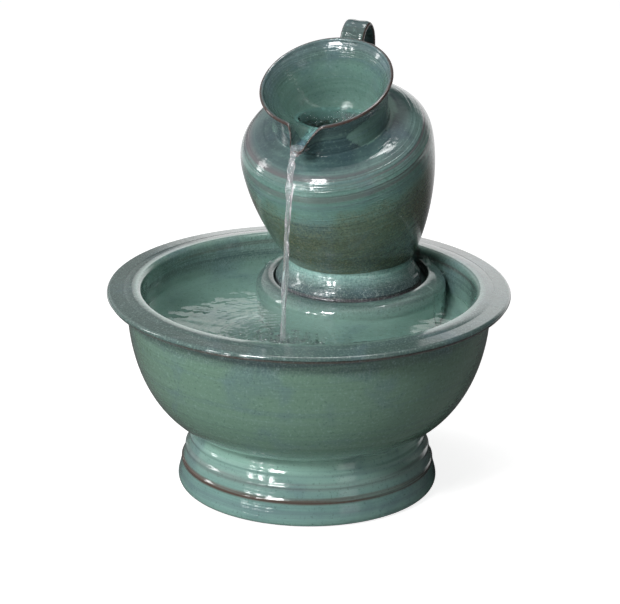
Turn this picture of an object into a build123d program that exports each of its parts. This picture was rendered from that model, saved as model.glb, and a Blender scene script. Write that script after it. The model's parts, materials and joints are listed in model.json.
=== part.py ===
"""Tabletop water fountain: a tilted stoneware jug that pours into a footed bowl.

The origin is the centre of the foot on the table, +Z is up, and the jug pours toward -Y.
All lengths are millimetres. Each piece is a solid of its own, written to parts/<name>.step.
"""

import os

from build123d import *
from math import atan2, cos, degrees, hypot, radians, sin, sqrt, tan

os.makedirs("parts", exist_ok=True)

# ---------------------------------------------------------------- clearances
RUNNING_FIT = 0.05      # radial play of a shaft, a barb or a tube in its bore
BODY_GAP = 0.3          # space between pieces that move past each other
STANDING = (Align.CENTER, Align.CENTER, Align.MIN)

# ---------------------------------------------------------------- bowl and foot
PAD_PROUD = 0.5         # how far the foot pads stand out of the foot ring
FOOT_FLARE = 109.6      # sharp corner of the flare before it is rounded
FOOT_WAIST_RADIUS = 103.6
FOOT_WAIST_SHARE = 0.47 # height of the waist as a share of the foot's height
FOOT_TOP_RADIUS = 94.5
FOOT_EDGE_ROUND = 8.5
FOOT_WALL = 9.6
FOOT_RING_SHARES = (0.43, 0.65, 0.84)
FOOT_RING_ROUND = 1.6

BELLY_RADIUS = 148.6    # widest outside radius of the bowl, under the rim
BELLY_DROP = 14.8       # from the rim down to that widest circle
BELLY_FLAT = 80.0       # radius of the flat underside
UNDERSIDE_LAP = 0.1     # how far the bowl's underside lies above the top of the foot
WALL = 12.0
FLOOR = 10.0

RIM_RADIUS = 165.0
RIM_HEIGHT = 170.5
RIM_DROP = 1.8          # fall of the rim's top from its crest to its lip
LIP_THICKNESS = 5.6
CREST_ROUND = 4.0
COVE_ROUND = 7.0        # sweep from the wall out to the underside of the rim

# ---------------------------------------------------------------- pump well in the bowl
WELL_X = 1.5
WELL_Y = 79.5
DECK_DROP = 13.0        # from the rim down to the deck, above the well's centre
DECK_TILT = 3.5         # the deck climbs toward the back rim
DECK_ROOT_ROUND = 6.0   # round between the deck and the bowl's wall
WELL_RADIUS = 80.0      # outside of the well's wall
WELL_WALL = 10.0
WELL_SHOULDER = 11.0    # round of the deck's edge
WELL_DEPTH = 81.0       # from the jug's seat down to the well's floor
WELL_FLOOR_THICKNESS = 15.9
SCOOP_RADIUS = 15.0     # round end of the pool on either side of the well
SCOOP_SHOULDER = 8.0
SEAT_RADIUS = 64.5      # recess that takes the jug's foot
SEAT_DEPTH = 9.5        # from the deck down to the ledge that the jug stands on
SEAT_LEDGE = 12.5
SEAT_LEDGE_THICKNESS = 8.0
SEAT_EDGE_ROUND = 2.0
SLOT_WIDTH = 16.0       # water passages at the foot of the well's wall
SLOT_HEIGHT = 24.0
SLOT_COUNT = 3
SLOT_SPACING = 30.0

CORD_HOLE_DIAMETER = 14.0
CORD_HOLE_Y = 36.0
CORD_ARCH_WIDTH = 13.0
CORD_ARCH_HEIGHT = 13.0
CORD_DIAMETER = 5.0
STOPPER_FLANGE = 3.0

PAD_DIAMETER = 8.0
PAD_THICKNESS = 2.0
PAD_COUNT = 4

# ---------------------------------------------------------------- jug
JUG_Y = 78.5            # centre of the jug's foot, its riser and the pump's outlet
JUG_FOOT_GAP = 2.9      # between the jug's foot and the recess round it
JUG_FOOT_NARROWING = 8.1
JUG_FOOT_HEIGHT = 22.0
JUG_FOOT_RECESS = 6.0
JUG_FOOT_RING = 11.0
FOOT_ROLL = 2.5
JUG_FLOOR = 6.0
SEAT_RING_THICKNESS = 2.0
SEAT_RING_WIDTH = 9.0

JUG_TILT = 22.0
JUG_AXIS_Y = 86.4       # a point of the tilted axis
JUG_AXIS_RISE = 38.5    # height of that point above the jug's foot
JUG_WALL = 6.0
# Radius and height along the tilted axis, from the trimmed base to the neck.
JUG_OUTLINE = [
    (41.0, -37.0), (59.2, 0.0), (73.9, 44.5), (79.8, 86.0), (77.6, 104.0), (66.0, 116.0), (46.0, 120.5)
]
NECK_HEIGHT = 120.0
NECK_RADIUS = 47.4
THROAT_HEIGHT = 139.0
THROAT_RADIUS = 48.8
MOUTH_HEIGHT = 157.9
MOUTH_RADIUS = 55.2
MOUTH_SHIFT = 1.6
MOUTH_TILT = 27.3
MOUTH_WALL = 4.6
LIP_ROUND = 1.8

SPOUT_WALL = 2.2
# Upright sections of the pinched pouring lip: place along Y, height of its edges above the jug's foot,
# width, depth.
SPOUT_SECTIONS = [
    (-28.2, 142.0, 8.6, 4.5),
    (-24.5, 148.5, 14.0, 8.5),
    (-19.5, 159.0, 22.0, 16.0),
    (-10.0, 164.5, 35.0, 20.0),
]

HANDLE_WIDTH = 21.0
HANDLE_THICKNESS = 5.5
# Centre line of the strap in the plane of symmetry, from the mouth to the shoulder: place along Y,
# height above the jug's foot.
HANDLE_ROUTE = [(75.5, 199.0), (82.5, 215.0), (92.0, 219.8), (99.5, 213.0), (102.0, 195.0), (105.0, 162.0)]

# ---------------------------------------------------------------- water line parts
BORE = 6.5              # inside of the nozzle, the fitting and its barbs
BARB_DIAMETER = 9.4
BARB_LENGTH = 14.0
BARB_TEETH = 3
BARB_DEPTH = 0.8
TUBE_WALL = 1.7
INLET_THREAD = 16.0
INLET_FLANGE = 26.0
INLET_FLANGE_THICKNESS = 3.0
GASKET_THICKNESS = 2.0
NUT_WIDTH = 23.0
NUT_THICKNESS = 5.0
RISER_LENGTH = 121.0

# ---------------------------------------------------------------- pump
CUP_HEIGHT = 6.0
CUP_RADIUS = 5.0
CUP_STEM_RADIUS = 2.0
CUP_STEM = 3.0
PUMP_WIDTH = 34.0
PUMP_HEIGHT = 35.0
MOTOR_LENGTH = 32.0
PUMP_EDGE_ROUND = 4.0
VOLUTE_LENGTH = 15.0
VOLUTE_BACK = 7.0       # from the outlet's axis to the motor's face
VOLUTE_RADIUS = 16.5
CHAMBER_RADIUS = 13.5
VOLUTE_FRONT = 3.0
PLATE_THICKNESS = 2.5
NOZZLE_DROP = 26.0      # from the foot of the inlet's thread down to the nozzle's tip
SEAL_RADIUS = 14.4
SEAL_SECTION = 1.2
ROTOR_WELL_RADIUS = 10.3
ROTOR_WELL_DEPTH = 25.0
MAGNET_RADIUS = 9.5
MAGNET_LENGTH = 18.0
SHAFT_RADIUS = 1.5
BUSHING_RADIUS = 3.5
BUSHING_LENGTH = 3.0
IMPELLER_RADIUS = 11.0
IMPELLER_BLADES = 6
BLADE_HEIGHT = 7.0
BLADE_THICKNESS = 1.4
HUB_RADIUS = 3.6
INTAKE_HOLES = 6
INTAKE_HOLE_RADIUS = 2.0
COVER_LENGTH = 22.0
COVER_WALL = 1.8
COVER_SLOTS = 7
COVER_SLOT_WIDTH = 2.4
COVER_SLOT_PITCH = 4.0
SLOT_SPAN = 24.0        # height of the intake slots and of the slider's rails
SPIGOT_WALL = 1.5
SPIGOT_LENGTH = 2.5
RAIL_WALL = 1.2
RAIL_LIP = 1.2
SLIDER_WIDTH = 18.0
SLIDER_HEIGHT = 9.0
SLIDER_THICKNESS = 1.5
SPONGE_LENGTH = 11.0
GLAND_RADIUS = 4.5
GLAND_LENGTH = 9.0
GLAND_SPIGOT = 3.0
GLAND_RISE = 7.0        # above the rotor's axis

# ---------------------------------------------------------------- places worked out from the above
belly_width = BELLY_RADIUS - BELLY_FLAT
bowl_radius = BELLY_RADIUS - WALL
belly_height = RIM_HEIGHT - BELLY_DROP
deck_height = RIM_HEIGHT - DECK_DROP
seat_height = deck_height - SEAT_DEPTH
well_floor = seat_height - WELL_DEPTH
underside = well_floor - WELL_FLOOR_THICKNESS
belly_depth = belly_height - underside
foot_height = underside - UNDERSIDE_LAP
foot_waist_height = foot_height * FOOT_WAIST_SHARE
crest_radius = bowl_radius + CREST_ROUND
lip_top = RIM_HEIGHT - RIM_DROP
lip_round = LIP_THICKNESS / 2
foot_inner_radius = FOOT_TOP_RADIUS - FOOT_WALL
foot_hollow_radius = foot_inner_radius + FOOT_WALL / 2
pad_ring_radius = foot_hollow_radius + PAD_DIAMETER / 2 + 0.4
jug_foot_radius = SEAT_RADIUS - JUG_FOOT_GAP
jug_foot_waist = jug_foot_radius - JUG_FOOT_NARROWING
ring_top = seat_height + SEAT_RING_THICKNESS
jug_floor_underside = ring_top + JUG_FOOT_RECESS
jug_floor_top = jug_floor_underside + JUG_FLOOR
seat_axis = Axis((0, JUG_Y, 0), (0, 0, 1))
deck = Plane(
    origin=(WELL_X, WELL_Y, deck_height),
    x_dir=(1, 0, 0),
    z_dir=(0, -sin(radians(DECK_TILT)), cos(radians(DECK_TILT))),
)
deck_profile = Plane(origin=deck.origin, x_dir=deck.x_dir, z_dir=-deck.y_dir)
tilt = radians(JUG_TILT)
jug_axis = Axis((0, JUG_AXIS_Y, ring_top + JUG_AXIS_RISE), (0, -sin(tilt), cos(tilt)))
jug_profile = Plane(origin=jug_axis.position, x_dir=(-1, 0, 0), z_dir=(0, cos(tilt), sin(tilt)))


def across_jug(height, angle, shift=0.0):
    """Plane across the jug at a height along its axis, tilted by angle from level."""
    centre = jug_axis.position + jug_axis.direction * height + Vector(0, cos(tilt), sin(tilt)) * shift
    turn = radians(angle)
    return Plane(origin=centre, x_dir=(1, 0, 0), z_dir=(0, -sin(turn), cos(turn)))


pump_base = well_floor + CUP_HEIGHT
pump_centre = pump_base + PUMP_HEIGHT / 2
plate_face = VOLUTE_BACK - VOLUTE_LENGTH
motor_back = VOLUTE_BACK + MOTOR_LENGTH
fitting_foot = jug_floor_underside - NUT_THICKNESS - 1
nozzle_top = fitting_foot - NOZZLE_DROP
flange_top = jug_floor_top + GASKET_THICKNESS + INLET_FLANGE_THICKNESS
riser_top = flange_top + RISER_LENGTH
barb = BARB_DIAMETER / 2
tube_bore = barb + RUNNING_FIT
cover_inside_width = PUMP_WIDTH - 2 * COVER_WALL
cover_inside_height = PUMP_HEIGHT - 2 * COVER_WALL
cover_inside_round = PUMP_EDGE_ROUND - COVER_WALL
cover_open = plate_face - BODY_GAP
cover_face = cover_open - COVER_LENGTH
# Pump sections are drawn with x along the rotor's axis and y outward from it, or across it.
pump_profile = Plane(origin=(0, JUG_Y, pump_centre), x_dir=(1, 0, 0), z_dir=(0, -1, 0))
mouth = across_jug(MOUTH_HEIGHT, MOUTH_TILT, MOUTH_SHIFT)


def across_pump(x):
    """Plane across the rotor's axis at x, with its normal along +X and its local y up."""
    return Plane(origin=(x, JUG_Y, pump_centre), x_dir=(0, 1, 0), z_dir=(1, 0, 0))


def barb_points(direction):
    """Saw-tooth side of a hose barb that starts at height 0 and points up (1) or down (-1)."""
    pitch = BARB_LENGTH / BARB_TEETH
    points = []
    for tooth in range(BARB_TEETH):
        points.append((barb, direction * pitch * tooth))
        points.append((barb - BARB_DEPTH, direction * pitch * (tooth + 1)))
    return points


def inset(points, depth):
    """Outline that runs a given depth inside another one, measured square to it."""
    moved = []
    for index, (radius, height) in enumerate(points):
        before = points[max(index - 1, 0)]
        after = points[min(index + 1, len(points) - 1)]
        run, rise = after[0] - before[0], after[1] - before[1]
        length = hypot(run, rise)
        moved.append((radius - depth * rise / length, height + depth * run / length))
    return moved


# ================================================================ basin
with BuildPart() as bowl_space:
    with BuildSketch(Plane.XZ):
        with BuildLine():
            inner_floor = underside + FLOOR
            top = RIM_HEIGHT + 2 * CREST_ROUND
            EllipticalCenterArc((BELLY_FLAT, belly_height), belly_width - WALL, belly_depth - FLOOR, -90)
            Line((bowl_radius, belly_height), (bowl_radius, RIM_HEIGHT - CREST_ROUND))
            CenterArc((crest_radius, RIM_HEIGHT - CREST_ROUND), CREST_ROUND, 90, 90)
            Polyline((crest_radius, RIM_HEIGHT), (crest_radius, top), (0, top), (0, inner_floor))
            Line((0, inner_floor), (BELLY_FLAT, inner_floor))
        make_face()
    revolve(axis=Axis.Z)

with BuildPart() as well_island:
    with BuildSketch(deck_profile):
        with BuildLine():
            flat = WELL_RADIUS - WELL_SHOULDER
            CenterArc((flat, -WELL_SHOULDER), WELL_SHOULDER, 0, 90)
            Polyline((flat, 0), (0, 0), (0, -deck_height), (WELL_RADIUS, -deck_height))
            Line((WELL_RADIUS, -deck_height), (WELL_RADIUS, -WELL_SHOULDER))
        make_face()
    revolve(axis=Axis(deck.origin, deck.z_dir))

# Each scoop touches the well's wall and the bowl's wall: its centre is where two circles cross.
scoop_from_bowl = bowl_radius - SCOOP_RADIUS
scoop_from_well = WELL_RADIUS + SCOOP_RADIUS
scoop_y = (scoop_from_bowl**2 - scoop_from_well**2 + WELL_Y**2) / (2 * WELL_Y)
scoop_x = sqrt(scoop_from_bowl**2 - scoop_y**2)
far = 2 * RIM_RADIUS
with BuildPart() as back_land:
    with BuildSketch():
        spread = far / hypot(scoop_x, scoop_y)
        Polygon(
            (0, WELL_Y),
            (scoop_x, scoop_y),
            (scoop_x * spread, scoop_y * spread),
            (far, far),
            (-far, far),
            (-scoop_x * spread, scoop_y * spread),
            (-scoop_x, scoop_y),
            align=None,
        )
    extrude(amount=far)

with BuildPart() as pool:
    add(bowl_space.part)
    add(well_island.part, mode=Mode.SUBTRACT)
    add(back_land.part, mode=Mode.SUBTRACT)

with BuildPart() as scoops:
    for side in (-1, 1):
        foot_point = (side * scoop_x - WELL_X, scoop_y - WELL_Y, 0)
        centre = deck.from_local_coords(foot_point)
        with BuildSketch(Plane(origin=centre, x_dir=deck.x_dir, z_dir=-deck.y_dir)):
            with BuildLine():
                flare = SCOOP_RADIUS + SCOOP_SHOULDER
                CenterArc((flare, -SCOOP_SHOULDER), SCOOP_SHOULDER, 90, 90)
                Polyline(
                    (flare, 0),
                    (flare, SCOOP_SHOULDER),
                    (0, SCOOP_SHOULDER),
                    (0, -deck_height),
                    (SCOOP_RADIUS, -deck_height),
                    (SCOOP_RADIUS, -SCOOP_SHOULDER),
                )
            make_face()
        revolve(axis=Axis(centre, deck.z_dir))
    add(bowl_space.part, mode=Mode.INTERSECT)

with BuildPart() as above_deck:
    add(bowl_space.part)
    split(bisect_by=deck, keep=Keep.TOP)
    fillet(above_deck.faces().sort_by(Axis.Z)[0].outer_wire().edges(), DECK_ROOT_ROUND)

with BuildPart() as seat_recess:
    with BuildSketch(deck_profile):
        with BuildLine():
            edge = SEAT_RADIUS + SEAT_EDGE_ROUND
            CenterArc((edge, -SEAT_EDGE_ROUND), SEAT_EDGE_ROUND, 90, 90)
            Polyline((edge, 0), (edge, SEAT_RADIUS), (0, SEAT_RADIUS), (0, -SEAT_RADIUS))
            Polyline((0, -SEAT_RADIUS), (SEAT_RADIUS, -SEAT_RADIUS), (SEAT_RADIUS, -SEAT_EDGE_ROUND))
        make_face()
    revolve(axis=Axis(deck.origin, deck.z_dir))
    split(bisect_by=Plane.XY.offset(seat_height), keep=Keep.TOP)

with BuildPart() as well_cavity:
    with BuildSketch(deck.offset(-(deck_height - seat_height) - SEAT_LEDGE_THICKNESS)):
        Circle(WELL_RADIUS - WELL_WALL)
    extrude(amount=-deck_height)
    split(bisect_by=Plane.XY.offset(well_floor), keep=Keep.TOP)
    with BuildSketch(Plane.XY.offset(well_floor)):
        with Locations((WELL_X, WELL_Y)):
            Circle(SEAT_RADIUS - SEAT_LEDGE)
    extrude(amount=deck_height - well_floor)
    add(bowl_space.part, mode=Mode.INTERSECT)

with BuildPart() as water_slots:
    well_foot = deck.from_local_coords((0, 0, well_floor - deck_height))
    with Locations((well_foot.X, well_foot.Y, well_floor)):
        reach = SLOT_SPACING * (SLOT_COUNT - 1)
        middle = WELL_RADIUS - WELL_WALL / 2
        with PolarLocations(middle, SLOT_COUNT, -90 - reach / 2, reach, endpoint=True):
            arch = SLOT_HEIGHT - SLOT_WIDTH / 2
            lengthwise = 2 * WELL_WALL
            Box(lengthwise, SLOT_WIDTH, arch, align=STANDING)
            with Locations((0, 0, arch)):
                Cylinder(SLOT_WIDTH / 2, lengthwise, rotation=(0, 90, 0))

with BuildPart() as basin:
    with BuildSketch(Plane.XZ) as basin_profile:
        with BuildLine():
            FilletPolyline(
                (0, PAD_PROUD),
                (FOOT_FLARE, PAD_PROUD),
                (FOOT_WAIST_RADIUS, foot_waist_height),
                (FOOT_TOP_RADIUS, foot_height),
                radius=[FOOT_EDGE_ROUND, 60.0],
            )
            lift = belly_depth * sqrt(1 - ((FOOT_TOP_RADIUS - BELLY_FLAT) / belly_width) ** 2)
            start = degrees(atan2(-lift / belly_depth, (FOOT_TOP_RADIUS - BELLY_FLAT) / belly_width))
            Line((FOOT_TOP_RADIUS, foot_height), (FOOT_TOP_RADIUS, belly_height - lift))
            belly_centre = (BELLY_FLAT, belly_height)
            EllipticalCenterArc(belly_centre, belly_width, belly_depth, start, arc_size=-start)
            lip_centre = RIM_RADIUS - lip_round
            lip_under = lip_top - LIP_THICKNESS
            cove_end = BELLY_RADIUS + COVE_ROUND
            Line((BELLY_RADIUS, belly_height), (BELLY_RADIUS, lip_under - COVE_ROUND))
            CenterArc((cove_end, lip_under - COVE_ROUND), COVE_ROUND, 90, 90)
            Line((cove_end, lip_under), (lip_centre, lip_under))
            CenterArc((lip_centre, lip_under + lip_round), lip_round, -90, 180)
            Polyline((lip_centre, lip_top), (crest_radius, RIM_HEIGHT), (0, RIM_HEIGHT), (0, PAD_PROUD))
        make_face()
    revolve(axis=Axis.Z)
    with BuildSketch(Plane.XZ) as foot_rings:
        for ring_share in FOOT_RING_SHARES:
            height = foot_height * ring_share
            share = (height - foot_waist_height) / (foot_height - foot_waist_height)
            flank = FOOT_WAIST_RADIUS + (FOOT_TOP_RADIUS - FOOT_WAIST_RADIUS) * share
            with Locations((flank - FOOT_RING_ROUND / 2, height)):
                Circle(FOOT_RING_ROUND)
    revolve(axis=Axis.Z)
    with BuildSketch(Plane.XZ):
        with BuildLine():
            Polyline(
                (0, 0),
                (foot_hollow_radius, 0),
                (foot_inner_radius, underside - FOOT_WALL / 2),
                (foot_inner_radius - FOOT_WALL / 2, underside),
                (0, underside),
                close=True,
            )
        make_face()
    revolve(axis=Axis.Z, mode=Mode.SUBTRACT)
    for room in (pool, scoops, above_deck, seat_recess, well_cavity, water_slots):
        add(room.part, mode=Mode.SUBTRACT)
    with Locations((0, CORD_HOLE_Y, well_floor)):
        Hole(CORD_HOLE_DIAMETER / 2, depth=2 * (well_floor - underside))
    with Locations((0, FOOT_FLARE, 0)):
        arch = CORD_ARCH_HEIGHT - CORD_ARCH_WIDTH / 2
        through = 2 * (FOOT_FLARE - foot_inner_radius + FOOT_WALL)
        Box(CORD_ARCH_WIDTH, through, arch, align=STANDING, mode=Mode.SUBTRACT)
        with Locations((0, 0, arch)):
            Cylinder(CORD_ARCH_WIDTH / 2, through, rotation=(90, 0, 0), mode=Mode.SUBTRACT)
    with PolarLocations(pad_ring_radius, PAD_COUNT, 45):
        with Locations((0, 0, PAD_PROUD)):
            Cylinder(PAD_DIAMETER / 2, PAD_THICKNESS - PAD_PROUD, align=STANDING, mode=Mode.SUBTRACT)
basin.part.label = "basin"
export_step(basin.part, "parts/basin.step")


with BuildPart() as foot_pads:
    with PolarLocations(pad_ring_radius, PAD_COUNT, 45):
        Cylinder(PAD_DIAMETER / 2, PAD_THICKNESS, align=STANDING)
foot_pads.part.label = "foot_pads"
export_step(foot_pads.part, "parts/foot_pads.step")

# Stopper with a flange above and below the floor of the well.
with BuildPart() as cord_stopper:
    with BuildSketch(Plane(origin=(0, CORD_HOLE_Y, 0), x_dir=(1, 0, 0), z_dir=(0, -1, 0))):
        with BuildLine():
            body = CORD_HOLE_DIAMETER / 2
            Polyline(
                (CORD_DIAMETER / 2, underside - STOPPER_FLANGE),
                (body + STOPPER_FLANGE, underside - STOPPER_FLANGE),
                (body + STOPPER_FLANGE, underside),
                (body, underside),
                (body, well_floor),
                (body + STOPPER_FLANGE, well_floor),
                (body + STOPPER_FLANGE / 2, well_floor + STOPPER_FLANGE),
                (CORD_DIAMETER / 2, well_floor + STOPPER_FLANGE),
                close=True,
            )
        make_face()
    revolve(axis=Axis((0, CORD_HOLE_Y, 0), (0, 0, 1)))
cord_stopper.part.label = "cord_stopper"
export_step(cord_stopper.part, "parts/cord_stopper.step")

# ================================================================ jug
with BuildPart() as seat_ring:
    with BuildSketch(Plane(origin=(0, JUG_Y, seat_height), z_dir=(0, 0, 1))):
        Circle(jug_foot_radius - 0.5)
        Circle(jug_foot_radius - 0.5 - SEAT_RING_WIDTH, mode=Mode.SUBTRACT)
    extrude(amount=SEAT_RING_THICKNESS)
seat_ring.part.label = "seat_ring"
export_step(seat_ring.part, "parts/seat_ring.step")

with BuildPart() as jug_solid:
    with BuildSketch(jug_profile):
        with BuildLine():
            side = Spline(JUG_OUTLINE)
            Polyline(side @ 1, (0, JUG_OUTLINE[-1][1]), (0, JUG_OUTLINE[0][1]), side @ 0)
        make_face()
    revolve(axis=jug_axis)
    split(bisect_by=Plane.XY.offset(jug_floor_underside), keep=Keep.TOP)
    for plane, radius in (
        (across_jug(NECK_HEIGHT - MOUTH_WALL, JUG_TILT), NECK_RADIUS),
        (across_jug(THROAT_HEIGHT, (JUG_TILT + MOUTH_TILT) / 2), THROAT_RADIUS),
        (mouth, MOUTH_RADIUS),
    ):
        with BuildSketch(plane):
            Circle(radius)
    loft()
    for place, rise, width, depth in SPOUT_SECTIONS:
        with BuildSketch(Plane(origin=(0, place, ring_top + rise), x_dir=(1, 0, 0), z_dir=(0, -1, 0))):
            with BuildLine():
                bottom = EllipticalCenterArc((0, 0), width / 2, depth, 180, arc_size=180)
                Line(bottom @ 1, bottom @ 0)
            make_face()
    loft()
    with BuildSketch(Plane(origin=(0, JUG_Y, ring_top), x_dir=(1, 0, 0), z_dir=(0, -1, 0))):
        with BuildLine():
            roll = jug_foot_radius - FOOT_ROLL
            CenterArc((roll, FOOT_ROLL), FOOT_ROLL, -90, 90)
            Spline(
                (jug_foot_radius, FOOT_ROLL),
                (jug_foot_radius - 1.6, JUG_FOOT_HEIGHT * 0.42),
                (jug_foot_waist + 1.5, JUG_FOOT_HEIGHT * 0.78),
                (jug_foot_waist, JUG_FOOT_HEIGHT),
                tangents=[(0, 1), (-0.1, 1)],
            )
            Polyline((jug_foot_waist, JUG_FOOT_HEIGHT), (0, JUG_FOOT_HEIGHT), (0, 0), (roll, 0))
        make_face()
    revolve(axis=seat_axis)
    with BuildSketch(Plane(origin=mouth.origin, x_dir=mouth.x_dir, z_dir=-mouth.y_dir)):
        with Locations((MOUTH_RADIUS - LIP_ROUND, 0)):
            Circle(LIP_ROUND)
    revolve(axis=Axis(mouth.origin, mouth.z_dir))

with BuildPart() as jug_hollow:
    inner_outline = inset(JUG_OUTLINE, JUG_WALL)
    with BuildSketch(jug_profile):
        with BuildLine():
            side = Spline(inner_outline)
            Polyline(side @ 1, (0, inner_outline[-1][1]), (0, inner_outline[0][1]), side @ 0)
        make_face()
    revolve(axis=jug_axis)
    split(bisect_by=Plane.XY.offset(jug_floor_top), keep=Keep.TOP)
    for plane, radius in (
        (across_jug(NECK_HEIGHT - 4 * MOUTH_WALL, JUG_TILT), NECK_RADIUS - MOUTH_WALL),
        (across_jug(THROAT_HEIGHT, (JUG_TILT + MOUTH_TILT) / 2), THROAT_RADIUS - MOUTH_WALL),
        (mouth, MOUTH_RADIUS - 2 * LIP_ROUND),
    ):
        with BuildSketch(plane):
            Circle(radius)
    loft()
    for place, rise, width, depth in SPOUT_SECTIONS:
        with BuildSketch(Plane(origin=(0, place, ring_top + rise), x_dir=(1, 0, 0), z_dir=(0, -1, 0))):
            with BuildLine():
                half = width / 2 - SPOUT_WALL
                bottom = EllipticalCenterArc((0, 0), half, depth - SPOUT_WALL, 180, arc_size=180)
                Polyline(bottom @ 1, (half, MOUTH_RADIUS), (-half, MOUTH_RADIUS), bottom @ 0)
            make_face()
    loft()

with BuildPart() as jug_body:
    add(jug_solid.part)
    add(jug_hollow.part, mode=Mode.SUBTRACT)
    with BuildSketch(Plane(origin=(0, JUG_Y, ring_top), z_dir=(0, 0, 1))):
        Circle(jug_foot_radius - JUG_FOOT_RING)
    extrude(amount=JUG_FOOT_RECESS, mode=Mode.SUBTRACT)
    with Locations((0, JUG_Y, jug_floor_top)):
        Hole(INLET_THREAD / 2 + RUNNING_FIT, depth=2 * JUG_FLOOR)
jug_body.part.label = "jug_body"
export_step(jug_body.part, "parts/jug_body.step")

with BuildPart() as jug_handle:
    with BuildLine(Plane.YZ) as route:
        Spline([(place, ring_top + rise) for place, rise in HANDLE_ROUTE])
    with BuildSketch(Plane(origin=route.line @ 0, x_dir=(1, 0, 0), z_dir=route.line % 0)):
        RectangleRounded(HANDLE_WIDTH, HANDLE_THICKNESS, HANDLE_THICKNESS * 0.42)
    sweep()
    add(jug_solid.part, mode=Mode.SUBTRACT)
jug_handle.part.label = "jug_handle"
export_step(jug_handle.part, "parts/jug_handle.step")

# ================================================================ inlet in the jug's floor
with BuildPart() as inlet_fitting:
    with BuildSketch(Plane(origin=(0, JUG_Y, 0), x_dir=(1, 0, 0), z_dir=(0, -1, 0))):
        with BuildLine():
            seat = jug_floor_top + GASKET_THICKNESS
            lower = [(radius, fitting_foot + height) for radius, height in barb_points(-1)]
            upper = [(radius, flange_top + height) for radius, height in barb_points(1)]
            Polyline(
                (BORE / 2, lower[-1][1]),
                *reversed(lower),
                (INLET_THREAD / 2, fitting_foot),
                (INLET_THREAD / 2, seat),
                (INLET_FLANGE / 2, seat),
                (INLET_FLANGE / 2, flange_top),
                *upper,
                (BORE / 2, upper[-1][1]),
                close=True,
            )
        make_face()
    revolve(axis=seat_axis)
inlet_fitting.part.label = "inlet_fitting"
export_step(inlet_fitting.part, "parts/inlet_fitting.step")

with BuildPart() as inlet_gasket:
    with BuildSketch(Plane(origin=(0, JUG_Y, jug_floor_top), z_dir=(0, 0, 1))):
        Circle(INLET_FLANGE / 2 - 1)
        Circle(INLET_THREAD / 2 + RUNNING_FIT, mode=Mode.SUBTRACT)
    extrude(amount=GASKET_THICKNESS)
inlet_gasket.part.label = "inlet_gasket"
export_step(inlet_gasket.part, "parts/inlet_gasket.step")

with BuildPart() as inlet_nut:
    with BuildSketch(Plane(origin=(0, JUG_Y, jug_floor_underside - NUT_THICKNESS), z_dir=(0, 0, 1))):
        RegularPolygon(NUT_WIDTH / 2, 6, major_radius=False)
        Circle(INLET_THREAD / 2 + RUNNING_FIT, mode=Mode.SUBTRACT)
    extrude(amount=NUT_THICKNESS)
inlet_nut.part.label = "inlet_nut"
export_step(inlet_nut.part, "parts/inlet_nut.step")

with BuildPart() as riser_tube:
    with BuildSketch(Plane(origin=(0, JUG_Y, flange_top), z_dir=(0, 0, 1))):
        Circle(tube_bore + TUBE_WALL)
        Circle(tube_bore, mode=Mode.SUBTRACT)
    extrude(amount=riser_top - flange_top)
riser_tube.part.label = "riser_tube"
export_step(riser_tube.part, "parts/riser_tube.step")

with BuildPart() as supply_tube:
    with BuildSketch(Plane(origin=(0, JUG_Y, nozzle_top - BARB_LENGTH), z_dir=(0, 0, 1))):
        Circle(tube_bore + TUBE_WALL)
        Circle(tube_bore, mode=Mode.SUBTRACT)
    extrude(amount=fitting_foot - BODY_GAP - nozzle_top + BARB_LENGTH)
supply_tube.part.label = "supply_tube"
export_step(supply_tube.part, "parts/supply_tube.step")

# ================================================================ pump
cup_places = [
    (x, JUG_Y + side * (PUMP_WIDTH / 2 - CUP_RADIUS - 1))
    for x in (VOLUTE_BACK + CUP_RADIUS, motor_back - 2 * CUP_RADIUS)
    for side in (-1, 1)
]
with BuildPart() as pump_housing:
    with BuildSketch(across_pump(VOLUTE_BACK)):
        RectangleRounded(PUMP_WIDTH, PUMP_HEIGHT, PUMP_EDGE_ROUND)
    extrude(amount=MOTOR_LENGTH)
    fillet(pump_housing.faces().sort_by(Axis.X)[-1].outer_wire().edges(), PUMP_EDGE_ROUND / 2)
    with BuildSketch(across_pump(VOLUTE_BACK)):
        Circle(ROTOR_WELL_RADIUS)
    extrude(amount=ROTOR_WELL_DEPTH, mode=Mode.SUBTRACT)
    with BuildSketch(across_pump(VOLUTE_BACK + ROTOR_WELL_DEPTH)):
        Circle(BUSHING_RADIUS + RUNNING_FIT)
    extrude(amount=BUSHING_LENGTH - 1, mode=Mode.SUBTRACT)
    with BuildSketch(across_pump(motor_back - GLAND_SPIGOT)):
        with Locations((0, GLAND_RISE)):
            Circle(GLAND_RADIUS - 1 + RUNNING_FIT)
    extrude(amount=2 * GLAND_SPIGOT, mode=Mode.SUBTRACT)
    with Locations([(x, y, pump_base) for x, y in cup_places]):
        Cylinder(CUP_STEM_RADIUS + RUNNING_FIT, CUP_STEM, align=STANDING, mode=Mode.SUBTRACT)
pump_housing.part.label = "pump_housing"
export_step(pump_housing.part, "parts/pump_housing.step")

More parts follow.
